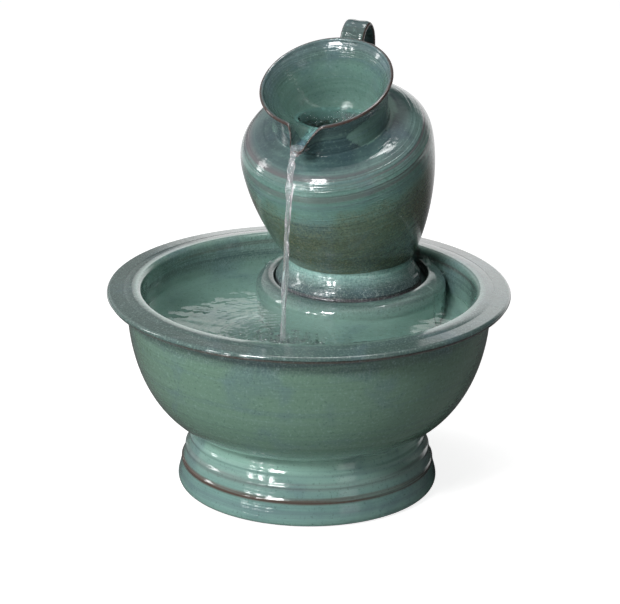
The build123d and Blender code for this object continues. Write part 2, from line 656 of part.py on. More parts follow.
with BuildPart() as pump_volute:
    with BuildSketch(across_pump(plate_face)):
        Circle(VOLUTE_RADIUS)
    extrude(amount=VOLUTE_LENGTH)
    with BuildSketch(across_pump(plate_face)):
        RectangleRounded(PUMP_WIDTH, PUMP_HEIGHT, PUMP_EDGE_ROUND)
    extrude(amount=PLATE_THICKNESS)
    with BuildSketch(across_pump(plate_face)):
        spigot_width = cover_inside_width - 2 * BODY_GAP
        spigot_height = cover_inside_height - 2 * BODY_GAP
        RectangleRounded(spigot_width, spigot_height, cover_inside_round)
        offset(amount=-SPIGOT_WALL, mode=Mode.SUBTRACT)
    extrude(amount=-SPIGOT_LENGTH)
    with BuildSketch(Plane(origin=(0, JUG_Y, pump_centre), z_dir=(0, 0, 1))):
        Circle(barb)
    extrude(amount=nozzle_top - pump_centre)
    with BuildSketch(across_pump(plate_face + VOLUTE_FRONT)):
        Circle(CHAMBER_RADIUS)
    extrude(amount=VOLUTE_LENGTH, mode=Mode.SUBTRACT)
    with BuildSketch(Plane(origin=(0, JUG_Y, pump_centre), z_dir=(0, 0, 1))):
        Circle(BORE / 2)
    extrude(amount=PUMP_HEIGHT + nozzle_top - pump_centre, mode=Mode.SUBTRACT)
    with BuildSketch(across_pump(plate_face)):
        with PolarLocations((CHAMBER_RADIUS + BUSHING_RADIUS) / 2, INTAKE_HOLES):
            Circle(INTAKE_HOLE_RADIUS)
    extrude(amount=VOLUTE_FRONT, mode=Mode.SUBTRACT)
    with BuildSketch(across_pump(plate_face + 1)):
        Circle(BUSHING_RADIUS + RUNNING_FIT)
    extrude(amount=VOLUTE_FRONT, mode=Mode.SUBTRACT)
    with BuildSketch(across_pump(VOLUTE_BACK)):
        Circle(SEAL_RADIUS + SEAL_SECTION)
        Circle(SEAL_RADIUS, mode=Mode.SUBTRACT)
    extrude(amount=-SEAL_SECTION, mode=Mode.SUBTRACT)
pump_volute.part.label = "pump_volute"
export_step(pump_volute.part, "parts/pump_volute.step")

with BuildPart() as pump_seal:
    with BuildSketch(across_pump(VOLUTE_BACK)):
        Circle(SEAL_RADIUS + SEAL_SECTION)
        Circle(SEAL_RADIUS, mode=Mode.SUBTRACT)
    extrude(amount=-SEAL_SECTION)
pump_seal.part.label = "pump_seal"
export_step(pump_seal.part, "parts/pump_seal.step")

with BuildPart() as shaft_bushings:
    for start in (plate_face + 1, VOLUTE_BACK + ROTOR_WELL_DEPTH - 1):
        with BuildSketch(across_pump(start)):
            Circle(BUSHING_RADIUS)
            Circle(SHAFT_RADIUS + RUNNING_FIT / 2, mode=Mode.SUBTRACT)
        extrude(amount=BUSHING_LENGTH)
shaft_bushings.part.label = "shaft_bushings"
export_step(shaft_bushings.part, "parts/shaft_bushings.step")

with BuildPart() as rotor_shaft:
    with BuildSketch(across_pump(plate_face + 1)):
        Circle(SHAFT_RADIUS)
    extrude(amount=VOLUTE_LENGTH + ROTOR_WELL_DEPTH)
rotor_shaft.part.label = "rotor_shaft"
export_step(rotor_shaft.part, "parts/rotor_shaft.step")

magnet_start = VOLUTE_BACK + (ROTOR_WELL_DEPTH - MAGNET_LENGTH) / 2
with BuildPart() as rotor_magnet:
    with BuildSketch(across_pump(magnet_start)):
        Circle(MAGNET_RADIUS)
        Circle(SHAFT_RADIUS + RUNNING_FIT, mode=Mode.SUBTRACT)
    extrude(amount=MAGNET_LENGTH)
rotor_magnet.part.label = "rotor_magnet"
export_step(rotor_magnet.part, "parts/rotor_magnet.step")

# Hub, back disc and straight blades; the hub runs back to the magnet.
with BuildPart() as impeller:
    disc_start = VOLUTE_BACK - BODY_GAP - BLADE_THICKNESS
    with BuildSketch(across_pump(disc_start)):
        Circle(IMPELLER_RADIUS)
    extrude(amount=BLADE_THICKNESS)
    with BuildSketch(across_pump(disc_start)):
        with PolarLocations((IMPELLER_RADIUS + HUB_RADIUS) / 2 - 0.5, IMPELLER_BLADES):
            Rectangle(IMPELLER_RADIUS - HUB_RADIUS + 1, BLADE_THICKNESS)
    extrude(amount=-BLADE_HEIGHT)
    with BuildSketch(across_pump(magnet_start)):
        Circle(HUB_RADIUS)
    extrude(amount=disc_start - BLADE_HEIGHT - magnet_start)
    with BuildSketch(across_pump(magnet_start)):
        Circle(SHAFT_RADIUS + RUNNING_FIT)
    extrude(amount=-2 * VOLUTE_LENGTH, mode=Mode.SUBTRACT)
impeller.part.label = "impeller"
export_step(impeller.part, "parts/impeller.step")

with BuildPart() as suction_cups:
    for x, y in cup_places:
        with BuildSketch(Plane(origin=(x, y, well_floor), x_dir=(1, 0, 0), z_dir=(0, -1, 0))):
            Polygon(
                (0, CUP_HEIGHT / 3),
                (CUP_RADIUS - 1, 0),
                (CUP_RADIUS, 0),
                (CUP_STEM_RADIUS, CUP_HEIGHT * 0.6),
                (CUP_STEM_RADIUS, CUP_HEIGHT + CUP_STEM),
                (0, CUP_HEIGHT + CUP_STEM),
                align=None,
            )
        revolve(axis=Axis((x, y, 0), (0, 0, 1)))
suction_cups.part.label = "suction_cups"
export_step(suction_cups.part, "parts/suction_cups.step")

with BuildPart() as cord_gland:
    with BuildSketch(pump_profile):
        gland_start = motor_back - GLAND_SPIGOT
        Polygon(
            (gland_start, GLAND_RISE + CORD_DIAMETER / 2),
            (gland_start, GLAND_RISE + GLAND_RADIUS - 1),
            (motor_back, GLAND_RISE + GLAND_RADIUS - 1),
            (motor_back, GLAND_RISE + GLAND_RADIUS),
            (motor_back + GLAND_LENGTH / 3, GLAND_RISE + GLAND_RADIUS),
            (motor_back + GLAND_LENGTH, GLAND_RISE + CORD_DIAMETER / 2 + 0.8),
            (motor_back + GLAND_LENGTH, GLAND_RISE + CORD_DIAMETER / 2),
            align=None,
        )
    revolve(axis=Axis((0, JUG_Y, pump_centre + GLAND_RISE), (1, 0, 0)))
cord_gland.part.label = "cord_gland"
export_step(cord_gland.part, "parts/cord_gland.step")

with BuildPart() as intake_cover:
    with BuildSketch(across_pump(cover_face)):
        RectangleRounded(PUMP_WIDTH, PUMP_HEIGHT, PUMP_EDGE_ROUND)
    extrude(amount=COVER_LENGTH)
    with BuildSketch(across_pump(cover_face + COVER_WALL)):
        RectangleRounded(cover_inside_width, cover_inside_height, cover_inside_round)
    extrude(amount=COVER_LENGTH, mode=Mode.SUBTRACT)
    for side in (-1, 1):
        rail = SLIDER_WIDTH / 2 + BODY_GAP
        with BuildSketch(Plane(origin=(cover_face, JUG_Y, pump_centre), z_dir=(0, 0, 1))):
            depth = SLIDER_THICKNESS + 2 * BODY_GAP
            Polygon(
                (0, side * rail),
                (-depth, side * rail),
                (-depth, side * (rail - RAIL_LIP)),
                (-depth - RAIL_WALL, side * (rail - RAIL_LIP)),
                (-depth - RAIL_WALL, side * (rail + RAIL_WALL)),
                (0, side * (rail + RAIL_WALL)),
                align=None,
            )
        extrude(amount=SLOT_SPAN / 2, both=True)
    with BuildSketch(across_pump(cover_face)):
        with GridLocations(COVER_SLOT_PITCH, 0, COVER_SLOTS, 1):
            SlotOverall(SLOT_SPAN, COVER_SLOT_WIDTH, rotation=90)
    extrude(amount=COVER_WALL, mode=Mode.SUBTRACT)
intake_cover.part.label = "intake_cover"
export_step(intake_cover.part, "parts/intake_cover.step")

with BuildPart() as intake_sponge:
    with BuildSketch(across_pump(cover_face + COVER_WALL)):
        sponge_width, sponge_height = cover_inside_width - BODY_GAP, cover_inside_height - BODY_GAP
        RectangleRounded(sponge_width, sponge_height, cover_inside_round)
    extrude(amount=SPONGE_LENGTH)
intake_sponge.part.label = "intake_sponge"
export_step(intake_sponge.part, "parts/intake_sponge.step")

# Shutter in the rails of the intake cover, with a ridge for the thumb; it rests at its lowest place.
with BuildPart() as flow_slider:
    slider_face = cover_face - BODY_GAP
    lowest = -SLOT_SPAN / 2 + SLIDER_HEIGHT / 2
    with BuildSketch(across_pump(slider_face)):
        with Locations((0, lowest)):
            Rectangle(SLIDER_WIDTH, SLIDER_HEIGHT)
    extrude(amount=-SLIDER_THICKNESS)
    with BuildSketch(across_pump(slider_face - SLIDER_THICKNESS)):
        with Locations((0, lowest)):
            SlotOverall(SLIDER_WIDTH / 2, SLIDER_THICKNESS)
    extrude(amount=-SLIDER_THICKNESS)
flow_slider.part.label = "flow_slider"
export_step(flow_slider.part, "parts/flow_slider.step")
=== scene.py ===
"""Dresses the tabletop fountain: glazed stoneware bowl and tilted pouring jug, water, pump and studio.

Lengths are in millimetres unless a docstring says metres; meshes are made in metres.
"""

import json
import logging
import math
from dataclasses import dataclass, replace
from enum import Enum
from typing import Callable, Sequence

import bmesh
import bpy
import numpy as np
from mathutils import Matrix, Vector, noise

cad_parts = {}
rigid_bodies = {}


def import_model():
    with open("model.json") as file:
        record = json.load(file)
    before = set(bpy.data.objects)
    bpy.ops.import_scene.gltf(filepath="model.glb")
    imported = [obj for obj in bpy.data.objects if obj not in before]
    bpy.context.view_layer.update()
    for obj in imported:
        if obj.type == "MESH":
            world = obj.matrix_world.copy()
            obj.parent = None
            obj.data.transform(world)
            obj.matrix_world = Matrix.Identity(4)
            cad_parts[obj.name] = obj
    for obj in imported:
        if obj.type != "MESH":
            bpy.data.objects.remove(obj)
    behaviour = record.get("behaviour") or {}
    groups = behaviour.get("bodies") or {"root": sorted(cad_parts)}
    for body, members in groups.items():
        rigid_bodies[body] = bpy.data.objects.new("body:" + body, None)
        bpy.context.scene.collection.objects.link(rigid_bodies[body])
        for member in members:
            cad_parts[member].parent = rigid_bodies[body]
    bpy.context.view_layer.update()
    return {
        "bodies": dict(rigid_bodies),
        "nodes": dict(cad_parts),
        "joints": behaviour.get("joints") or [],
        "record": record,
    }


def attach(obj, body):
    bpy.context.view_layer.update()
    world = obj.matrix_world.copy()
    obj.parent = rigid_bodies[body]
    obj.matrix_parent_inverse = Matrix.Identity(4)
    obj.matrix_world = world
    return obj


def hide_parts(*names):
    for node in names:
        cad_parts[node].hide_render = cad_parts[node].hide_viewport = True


LOG = logging.getLogger("fountain")
MM = 0.001
SIDE = np.array([1.0, 0.0, 0.0])
Pair = tuple[float, float]
Point = tuple[float, float, float]
Colour = tuple[float, float, float]
Socket = bpy.types.NodeSocket
Face = tuple[int, ...]


# ---------------------------------------------------------------- node trees
class Graph:
    """Short hand for adding and joining the nodes of one tree."""

    def __init__(self, tree: bpy.types.NodeTree) -> None:
        """Keeps the tree that the nodes go into."""
        self.tree = tree

    def node(self, kind: str, **settings: object) -> bpy.types.Node:
        """Adds a node.

        Args:
            kind: The node's type name.
            settings: Properties to set on it.

        Returns:
            The new node.
        """
        made = self.tree.nodes.new(kind)
        for name, value in settings.items():
            setattr(made, name, value)
        return made

    def feed(self, socket: Socket, value: object) -> None:
        """Joins a socket to another one, or gives it a plain value.

        Args:
            socket: The input to feed.
            value: An output, a number or a colour.
        """
        if isinstance(value, Socket):
            self.tree.links.new(value, socket)
        elif isinstance(value, tuple) and len(value) == 3 and socket.type == "RGBA":
            socket.default_value = (*value, 1.0)
        else:
            socket.default_value = value

    def math(self, operation: str, first: object, second: object = 0.0) -> Socket:
        """Adds a Math node.

        Args:
            operation: What it does, such as ADD.
            first: Its first value or socket.
            second: Its second value or socket.

        Returns:
            The result's socket.
        """
        made = self.node("ShaderNodeMath", operation=operation)
        self.feed(made.inputs[0], first)
        self.feed(made.inputs[1], second)
        return made.outputs[0]

    def plus(self, first: object, second: object) -> Socket:
        """Adds two values."""
        return self.math("ADD", first, second)

    def minus(self, first: object, second: object) -> Socket:
        """Takes the second value from the first."""
        return self.math("SUBTRACT", first, second)

    def times(self, first: object, second: object) -> Socket:
        """Multiplies two values."""
        return self.math("MULTIPLY", first, second)

    def larger(self, first: object, second: object) -> Socket:
        """Gives the larger of two values."""
        return self.math("MAXIMUM", first, second)

    def mix(self, share: object, under: object, over: object) -> Socket:
        """Mixes two colours.

        Args:
            share: How much of the second colour shows.
            under: The first colour or socket.
            over: The second colour or socket.

        Returns:
            The mixed colour's socket.
        """
        made = self.node("ShaderNodeMix", data_type="RGBA", clamp_factor=True)
        for place, value in ((0, share), (6, under), (7, over)):
            self.feed(made.inputs[place], value)
        return made.outputs[2]

    def noise(self, vector: object, scale: float, detail: float = 3.0, roughness: float = 0.5,
              distortion: float = 0.0) -> Socket:
        """Adds a Noise texture.

        Args:
            vector: The coordinates' socket.
            scale: Its scale, per metre of those coordinates.
            detail: How many octaves it has.
            roughness: How strong the finer octaves are.
            distortion: How far it is bent.

        Returns:
            The socket of its value, about 0.5 on average.
        """
        made = self.node("ShaderNodeTexNoise")
        self.feed(made.inputs["Vector"], vector)
        for name, value in (("Scale", scale), ("Detail", detail), ("Roughness", roughness),
                            ("Distortion", distortion)):
            made.inputs[name].default_value = value
        return made.outputs[0]

    def span(self, value: object, low: float, high: float, start: float = 0.0, end: float = 1.0,
             smooth: bool = True) -> Socket:
        """Maps a value from one range to another, held at both ends.

        Args:
            value: The socket to map.
            low: Where the first range starts.
            high: Where the first range ends.
            start: The result at low.
            end: The result at high.
            smooth: Whether it eases in and out.

        Returns:
            The result's socket.
        """
        made = self.node("ShaderNodeMapRange", interpolation_type="SMOOTHSTEP" if smooth else "LINEAR")
        for socket, number in zip(made.inputs, (value, low, high, start, end)):
            self.feed(socket, number)
        return made.outputs[0]

    def ramp(self, value: object, stops: Sequence[tuple[float, Colour]]) -> Socket:
        """Turns a value into a colour.

        Args:
            value: The socket that picks the colour.
            stops: Places from 0 to 1, each with its colour.

        Returns:
            The colour's socket.
        """
        made = self.node("ShaderNodeValToRGB")
        self.feed(made.inputs[0], value)
        elements = made.color_ramp.elements
        while len(elements) < len(stops):
            elements.new(1.0)
        for element, (place, colour) in zip(elements, stops):
            element.position = place
            element.color = (*colour, 1.0)
        return made.outputs[0]

    def scaled(self, vector: object, factors: Point) -> Socket:
        """Stretches coordinates by one factor along each axis.

        Args:
            vector: The coordinates' socket.
            factors: The factors.

        Returns:
            The socket of the new coordinates.
        """
        made = self.node("ShaderNodeVectorMath", operation="MULTIPLY")
        self.feed(made.inputs[0], vector)
        made.inputs[1].default_value = factors
        return made.outputs[0]

    def apart(self, vector: object) -> tuple[Socket, Socket, Socket]:
        """Splits coordinates into X, Y and Z.

        Args:
            vector: The coordinates' socket.

        Returns:
            One socket for each axis.
        """
        made = self.node("ShaderNodeSeparateXYZ")
        self.feed(made.inputs[0], vector)
        return tuple(made.outputs)

    def place(self) -> Socket:
        """Reads a piece's own coordinates, in metres."""
        return self.node("ShaderNodeTexCoord").outputs["Object"]

    def stored(self, name: str) -> Socket:
        """Reads a value that is stored at a piece's corners."""
        return self.node("ShaderNodeAttribute", attribute_name=name).outputs["Fac"]

    def bump(self, shader: bpy.types.Node, relief: object, depth: float) -> None:
        """Gives a shader a raised surface.

        Args:
            shader: The shader.
            relief: The socket of the relief, from 0 to about 1.
            depth: How high a relief of 1 stands.
        """
        made = self.node("ShaderNodeBump")
        made.inputs["Distance"].default_value = depth * MM
        self.feed(made.inputs["Height"], relief)
        self.feed(shader.inputs["Normal"], made.outputs[0])

    def group(self, tree: bpy.types.NodeTree, **values: object) -> bpy.types.bpy_prop_collection:
        """Adds a node group.

        Args:
            tree: The group's tree.
            values: What its inputs get, by their names in small letters.

        Returns:
            Its outputs, by name.
        """
        made = self.node("ShaderNodeGroup")
        made.node_tree = tree
        for name, value in values.items():
            self.feed(made.inputs[name.capitalize()], value)
        return made.outputs


def new_group(name: str, inputs: dict[str, tuple[str, object]], outputs: dict[str, str],
              kind: str = "ShaderNodeTree") -> tuple[Graph, dict[str, Socket], dict[str, Socket]]:
    """Starts a node group.

    Args:
        name: The group's name.
        inputs: Input names, each with its kind of socket and a default value or None.
        outputs: Output names, each with its kind of socket.
        kind: The type of tree.

    Returns:
        Its graph, and its input and output sockets by name.
    """
    tree = bpy.data.node_groups.new(name, kind)
    for label, (socket_kind, default) in inputs.items():
        socket = tree.interface.new_socket(name=label, in_out="INPUT", socket_type=f"NodeSocket{socket_kind}")
        if default is not None:
            socket.default_value = default
    for label, socket_kind in outputs.items():
        tree.interface.new_socket(name=label, in_out="OUTPUT", socket_type=f"NodeSocket{socket_kind}")
    graph = Graph(tree)
    entry, leave = graph.node("NodeGroupInput"), graph.node("NodeGroupOutput")
    return (graph, {socket.name: socket for socket in entry.outputs},
            {socket.name: socket for socket in leave.inputs})


def start_material(name: str) -> tuple[bpy.types.Material, Graph, bpy.types.Node]:
    """Starts a material made of nodes.

    Args:
        name: Its name.

    Returns:
        The material, its graph and its shader.
    """
    material = bpy.data.materials.new(name)
    material.use_nodes = True
    return material, Graph(material.node_tree), material.node_tree.nodes["Principled BSDF"]


class SurfaceEffects:
    """The effects that several finishes share, each built once as a node group."""

    def __init__(self) -> None:
        """Builds the three groups."""
        self.throwing = self._throwing()
        self.mottle = self._mottle()
        self.moulded = self._moulded()

    @staticmethod
    def _throwing() -> bpy.types.NodeTree:
        """Rings that a potter's fingers leave round a wheel-thrown wall."""
        graph, given, result = new_group(
            "throwing_rings", {"Vector": ("Vector", None), "Rings": ("Float", 260.0)},
            {"Ridge": "Float", "Band": "Float"})
        x, y, z = graph.apart(given["Vector"])
        height = graph.plus(z, graph.times(graph.noise(given["Vector"], 9.0, 2.0), 0.006))
        joined = graph.node("ShaderNodeCombineXYZ")
        for socket, value, factor in zip(joined.inputs, (x, y, height), (2.2, 2.2, given["Rings"])):
            graph.feed(socket, graph.times(value, factor))
        rings = joined.outputs[0]
        broad = graph.noise(rings, 1.0, 2.5, 0.55)
        narrow = graph.noise(graph.scaled(rings, (1.0, 1.0, 1.6)), 1.0, 2.0, 0.5)
        slow = graph.noise(graph.scaled(rings, (1.0, 1.0, 0.45)), 1.0, 3.0, 0.6)
        graph.feed(result["Ridge"], graph.plus(broad, graph.times(graph.span(narrow, 0.38, 0.62), 0.22)))
        graph.feed(result["Band"], slow)
        return graph.tree

    @staticmethod
    def _mottle() -> bpy.types.NodeTree:
        """Cloudy and fine variation of a melted glaze, with pinholes and iron specks."""
        graph, given, result = new_group(
            "glaze_mottle", {"Vector": ("Vector", None), "Specks": ("Float", 900.0)},
            {"Cloud": "Float", "Fine": "Float", "Speck": "Float"})
        graph.feed(result["Cloud"], graph.noise(given["Vector"], 22.0, 4.0, 0.6, 0.4))
        graph.feed(result["Fine"], graph.noise(given["Vector"], 420.0, 5.0, 0.7))
        cells = graph.node("ShaderNodeTexVoronoi", feature="F1")
        graph.feed(cells.inputs["Vector"], given["Vector"])
        graph.feed(cells.inputs["Scale"], given["Specks"])
        reach = graph.span(graph.noise(given["Vector"], 150.0, 2.0), 0.42, 0.75, 0.0, 0.42)
        graph.feed(result["Speck"], graph.math("LESS_THAN", cells.outputs["Distance"], reach))
        return graph.tree

    @staticmethod
    def _moulded() -> bpy.types.NodeTree:
        """Fine grain and faint flow marks of a moulded part."""
        graph, given, result = new_group(
            "moulded_grain", {"Vector": ("Vector", None)}, {"Grain": "Float", "Flow": "Float"})
        graph.feed(result["Grain"], graph.noise(given["Vector"], 2600.0, 3.0, 0.6))
        graph.feed(result["Flow"], graph.noise(given["Vector"], 60.0, 3.0, 0.55, 0.8))
        return graph.tree


# ---------------------------------------------------------------- finishes
class Axis(Enum):
    """Which way a piece's height runs, for finishes that follow it."""

    UPRIGHT = "upright"
    JUG = "jug"


@dataclass(frozen=True)
class Band:
    """A ring of another colour round a thrown piece, broken up along the throwing lines."""

    middle: float
    width: float
    strength: float
    tone: Colour
    inner: float = 1.0


@dataclass(frozen=True)
class Specks:
    """A zone where a glaze breaks into grains."""

    low: float
    high: float
    strength: float
    light: Colour = (0.30, 0.30, 0.17)
    dark: Colour = (0.060, 0.070, 0.040)
    fade: float = 16.0


@dataclass(frozen=True)
class Seen:
    """What the layers of a glaze read at each point of a piece."""

    place: Socket
    height: Socket
    drifted: Socket
    inside: Socket
    ridge: Socket
    band: Socket
    cloud: Socket
    fine: Socket
    speck: Socket


@dataclass(frozen=True)
class Glaze:
    """A fired glaze whose colour changes with height along the piece's axis."""

    name: str
    axis: Axis
    low: float
    high: float
    tones: tuple[tuple[float, Colour], ...]
    inner_tone: Colour
    bands: tuple[Band, ...] = ()
    specks: tuple[Specks, ...] = ()
    cloud_tone: Colour = (0.12, 0.20, 0.24)
    cloud_share: float = 0.5
    light_tone: Colour = (0.26, 0.42, 0.37)
    grain_tone: Colour = (0.05, 0.10, 0.085)
    grain_share: float = 0.45
    iron: Colour = (0.070, 0.042, 0.036)
    gloss: float = 0.14
    rings: float = 420.0
    relief: float = 0.70
    inner_relief: float = 0.22
    drift: float = 20.0
    streaks: float = 0.40

    def _place(self, graph: Graph) -> Socket:
        """Finds coordinates whose Z runs along the piece's axis, in metres.

        Args:
            graph: The material's graph.

        Returns:
            Their socket.
        """
        place = graph.place()
        if self.axis is Axis.UPRIGHT:
            return place
        turned = graph.node("ShaderNodeMapping", vector_type="TEXTURE")
        graph.feed(turned.inputs["Vector"], place)
        turned.inputs["Location"].default_value = tuple(value * MM for value in JUG_SHAPE.axis_point)
        turned.inputs["Rotation"].default_value = (math.radians(JUG_SHAPE.tilt), 0.0, 0.0)
        return turned.outputs[0]

    def _look(self, graph: Graph, effects: SurfaceEffects) -> Seen:
        """Adds the nodes that the layers read.

        Args:
            graph: The material's graph.
            effects: The shared node groups.

        Returns:
            Their sockets.
        """
        place = self._place(graph)
        height = graph.times(graph.apart(place)[2], 1.0 / MM)
        throwing = graph.group(effects.throwing, vector=place, rings=self.rings)
        mottle = graph.group(effects.mottle, vector=place)
        drift = graph.times(graph.minus(mottle["Cloud"], 0.5), self.drift * 2.0)
        return Seen(place, height, graph.plus(height, drift), graph.stored("inside"), throwing["Ridge"],
                    throwing["Band"], mottle["Cloud"], mottle["Fine"], mottle["Speck"])

    def _ground(self, graph: Graph, seen: Seen) -> Socket:
        """Lays the melted glaze: its tones by height, clouds, streaks and fine grain.

        Args:
            graph: The material's graph.
            seen: What the layers read.

        Returns:
            The colour's socket.
        """
        colour = graph.ramp(graph.span(seen.drifted, self.low, self.high, smooth=False), self.tones)
        colour = graph.mix(seen.inside, colour, self.inner_tone)
        layers = (
            (seen.cloud, 0.48, 0.72, self.cloud_share, self.cloud_tone),
            (seen.band, 0.52, 0.70, self.streaks, self.light_tone),
            (seen.band, 0.46, 0.32, self.streaks * 0.9, self.cloud_tone),
            (seen.fine, 0.54, 0.66, self.grain_share, self.light_tone),
            (seen.fine, 0.44, 0.33, self.grain_share, self.grain_tone),
        )
        for value, none, full, share, tone in layers:
            colour = graph.mix(graph.span(value, none, full, 0.0, share), colour, tone)
        return colour

    def _banded(self, graph: Graph, seen: Seen, colour: Socket) -> Socket:
        """Draws the bands round the piece.

        Args:
            graph: The material's graph.
            seen: What the layers read.
            colour: The colour under them.

        Returns:
            The new colour's socket.
        """
        for ring in self.bands:
            away = graph.math("ABSOLUTE", graph.minus(seen.height, ring.middle))
            near = graph.span(away, ring.width * 0.3, ring.width, 1.0, 0.0)
            near = graph.times(near, graph.span(seen.inside, 0.0, 1.0, 1.0, ring.inner, False))
            lines = graph.span(seen.band, 0.42, 0.58, 0.15 * ring.strength, ring.strength)
            colour = graph.mix(graph.times(near, lines), colour, ring.tone)
        return colour

    def _speckled(self, graph: Graph, seen: Seen, colour: Socket) -> Socket:
        """Breaks the colour into light and dark grains inside each zone.

        Args:
            graph: The material's graph.
            seen: What the layers read.
            colour: The colour under them.

        Returns:
            The new colour's socket.
        """
        for zone in self.specks:
            inside = graph.times(graph.span(seen.drifted, zone.low, zone.low + zone.fade),
                                 graph.span(seen.drifted, zone.high - zone.fade, zone.high, 1.0, 0.0))
            grains = graph.noise(seen.place, 620.0, 5.0, 0.8)
            dark = graph.times(graph.span(grains, 0.40, 0.50, 0.9 * zone.strength, 0.0), inside)
            light = graph.times(graph.span(grains, 0.53, 0.62, 0.0, 0.8 * zone.strength), inside)
            spots = graph.times(seen.speck, graph.times(inside, zone.strength))
            for share, tone in ((dark, zone.dark), (light, zone.light), (spots, zone.light)):
                colour = graph.mix(share, colour, tone)
        return colour

    def build(self, effects: SurfaceEffects) -> bpy.types.Material:
        """Makes the material.

        Args:
            effects: The shared node groups.

        Returns:
            The material, which also reads the vertex attributes "edge", for bare brown edges, and "inside".
        """
        material, graph, shader = start_material(self.name)
        seen = self._look(graph, effects)
        colour = self._speckled(graph, seen, self._banded(graph, seen, self._ground(graph, seen)))
        ragged = graph.plus(graph.stored("edge"), graph.times(graph.minus(seen.fine, 0.5), 0.7))
        bare = graph.span(ragged, 0.5, 0.95)
        rough = graph.span(seen.fine, 0.3, 0.7, self.gloss * 0.7, self.gloss * 1.3)
        thrown = graph.times(seen.ridge, graph.span(seen.inside, 0.0, 1.0, 1.0, self.inner_relief, False))
        relief = graph.plus(graph.plus(thrown, graph.times(seen.cloud, 1.8)), graph.times(seen.fine, 0.07))
        graph.feed(shader.inputs["Base Color"], graph.mix(bare, colour, self.iron))
        graph.feed(shader.inputs["Roughness"], graph.plus(rough, graph.times(bare, 0.06)))
        graph.bump(shader, relief, self.relief)
        shader.inputs["Coat Weight"].default_value = 0.7
        shader.inputs["Coat Roughness"].default_value = 0.03
        shader.inputs["IOR"].default_value = 1.55
        return material


@dataclass(frozen=True)
class Moulded:
    """Rubber, plastic, foam, ferrite or ceramic of a small part."""

    name: str
    colour: Colour
    roughness: float
    grain: float = 0.02
    variation: float = 0.25
    transmission: float = 0.0

    def build(self, effects: SurfaceEffects) -> bpy.types.Material:
        """Makes the material from the shared moulded grain.

        Args:
            effects: The shared node groups.

        Returns:
            The material.
        """
        material, graph, shader = start_material(self.name)
        marks = graph.group(effects.moulded, vector=graph.place())
        darker = tuple(channel * (1.0 - self.variation) for channel in self.colour)
        rough = graph.span(marks["Grain"], 0.3, 0.7, self.roughness * 0.8, self.roughness * 1.2)
        tinted = graph.mix(graph.span(marks["Flow"], 0.3, 0.7), self.colour, darker)
        graph.feed(shader.inputs["Base Color"], tinted)
        graph.feed(shader.inputs["Roughness"], rough)
        graph.bump(shader, marks["Grain"], self.grain)
        shader.inputs["Transmission Weight"].default_value = self.transmission
        return material


@dataclass(frozen=True)
class Water:
    """Clear water, with a faint tint."""

    name: str
    tint: Colour = (0.90, 0.90, 0.92)
    ripple: float = 0.0
    froth: float = 0.0
    shadow: float = 0.12

    def build(self) -> bpy.types.Material:
        """Makes the material."""
        material, graph, shader = start_material(self.name)
        place = graph.place()
        cloudy = graph.span(graph.noise(place, 60.0, 2.0), 0.3, 0.7)
        darker = tuple(channel * 0.96 for channel in self.tint)
        graph.feed(shader.inputs["Base Color"], graph.mix(cloudy, self.tint, darker))
        shader.inputs["Roughness"].default_value = 0.02
        shader.inputs["IOR"].default_value = 1.33
        shader.inputs["Transmission Weight"].default_value = 1.0 - self.froth
        shaded = graph.node("ShaderNodeLightPath").outputs["Is Shadow Ray"]
        graph.feed(shader.inputs["Alpha"], graph.span(shaded, 0.0, 1.0, 1.0, self.shadow, False))
        if self.ripple:
            stretched = graph.scaled(place, (1.0, 1.0, 0.35))
            graph.bump(shader, graph.noise(stretched, 220.0, 3.0, 0.6, 0.6), self.ripple)
        return material


PLUM = (0.16, 0.125, 0.14)
RUST = (0.11, 0.065, 0.05)
SLATE = (0.13, 0.18, 0.22)
JUG_GLAZE = Glaze(
    name="glaze_jug", axis=Axis.JUG, low=-40.0, high=165.0,
    tones=((0.0, (0.15, 0.20, 0.14)), (0.20, (0.10, 0.125, 0.07)), (0.46, (0.115, 0.155, 0.09)),
           (0.56, (0.15, 0.23, 0.17)), (0.61, (0.18, 0.345, 0.29)), (0.68, (0.14, 0.28, 0.24)),
           # The dark tones at 0.79 and 0.86 on the neck are painted shade under the overhanging mouth.
           (0.745, (0.19, 0.33, 0.30)), (0.79, (0.06, 0.11, 0.115)), (0.86, (0.055, 0.105, 0.105)),
           (0.93, (0.09, 0.14, 0.135)), (1.0, (0.16, 0.24, 0.25))),
    inner_tone=(0.17, 0.31, 0.26),
    # The first band, dark at 124 along the axis, is painted shade: full over the neck and shoulder under the
    # mouth, weaker in the throat below the water.
    bands=(Band(124.0, 20.0, 0.6, (0.03, 0.065, 0.08), 0.35), Band(110.0, 7.0, 0.75, PLUM, 0.0),
           Band(99.0, 5.0, 0.5, PLUM, 0.0), Band(90.0, 6.0, 0.4, SLATE),
           Band(78.0, 6.0, 0.35, (0.24, 0.46, 0.40))),
    specks=(Specks(-40.0, 90.0, 0.75),), gloss=0.09, relief=0.85, drift=16.0,
)
HANDLE_GLAZE = replace(
    JUG_GLAZE, name="glaze_handle", bands=(), specks=(), inner_tone=(0.10, 0.15, 0.145),
    tones=((0.0, (0.09, 0.14, 0.13)), (0.7, (0.09, 0.14, 0.135)), (1.0, (0.075, 0.115, 0.11))),
)
JUG_FOOT_GLAZE = Glaze(
    name="glaze_jug_foot", axis=Axis.UPRIGHT, low=148.0, high=178.0,
    tones=((0.0, (0.06, 0.065, 0.08)), (0.24, (0.08, 0.115, 0.125)), (0.46, (0.11, 0.18, 0.175)),
           (0.80, (0.42, 0.70, 0.64)), (1.0, (0.15, 0.23, 0.19))),
    inner_tone=(0.2, 0.3, 0.28),
    bands=(Band(153.0, 3.0, 0.8, PLUM),),
    specks=(Specks(130.0, 200.0, 0.5, light=(0.55, 0.68, 0.65), dark=(0.06, 0.11, 0.11)),),
    relief=1.0, drift=4.0,
)
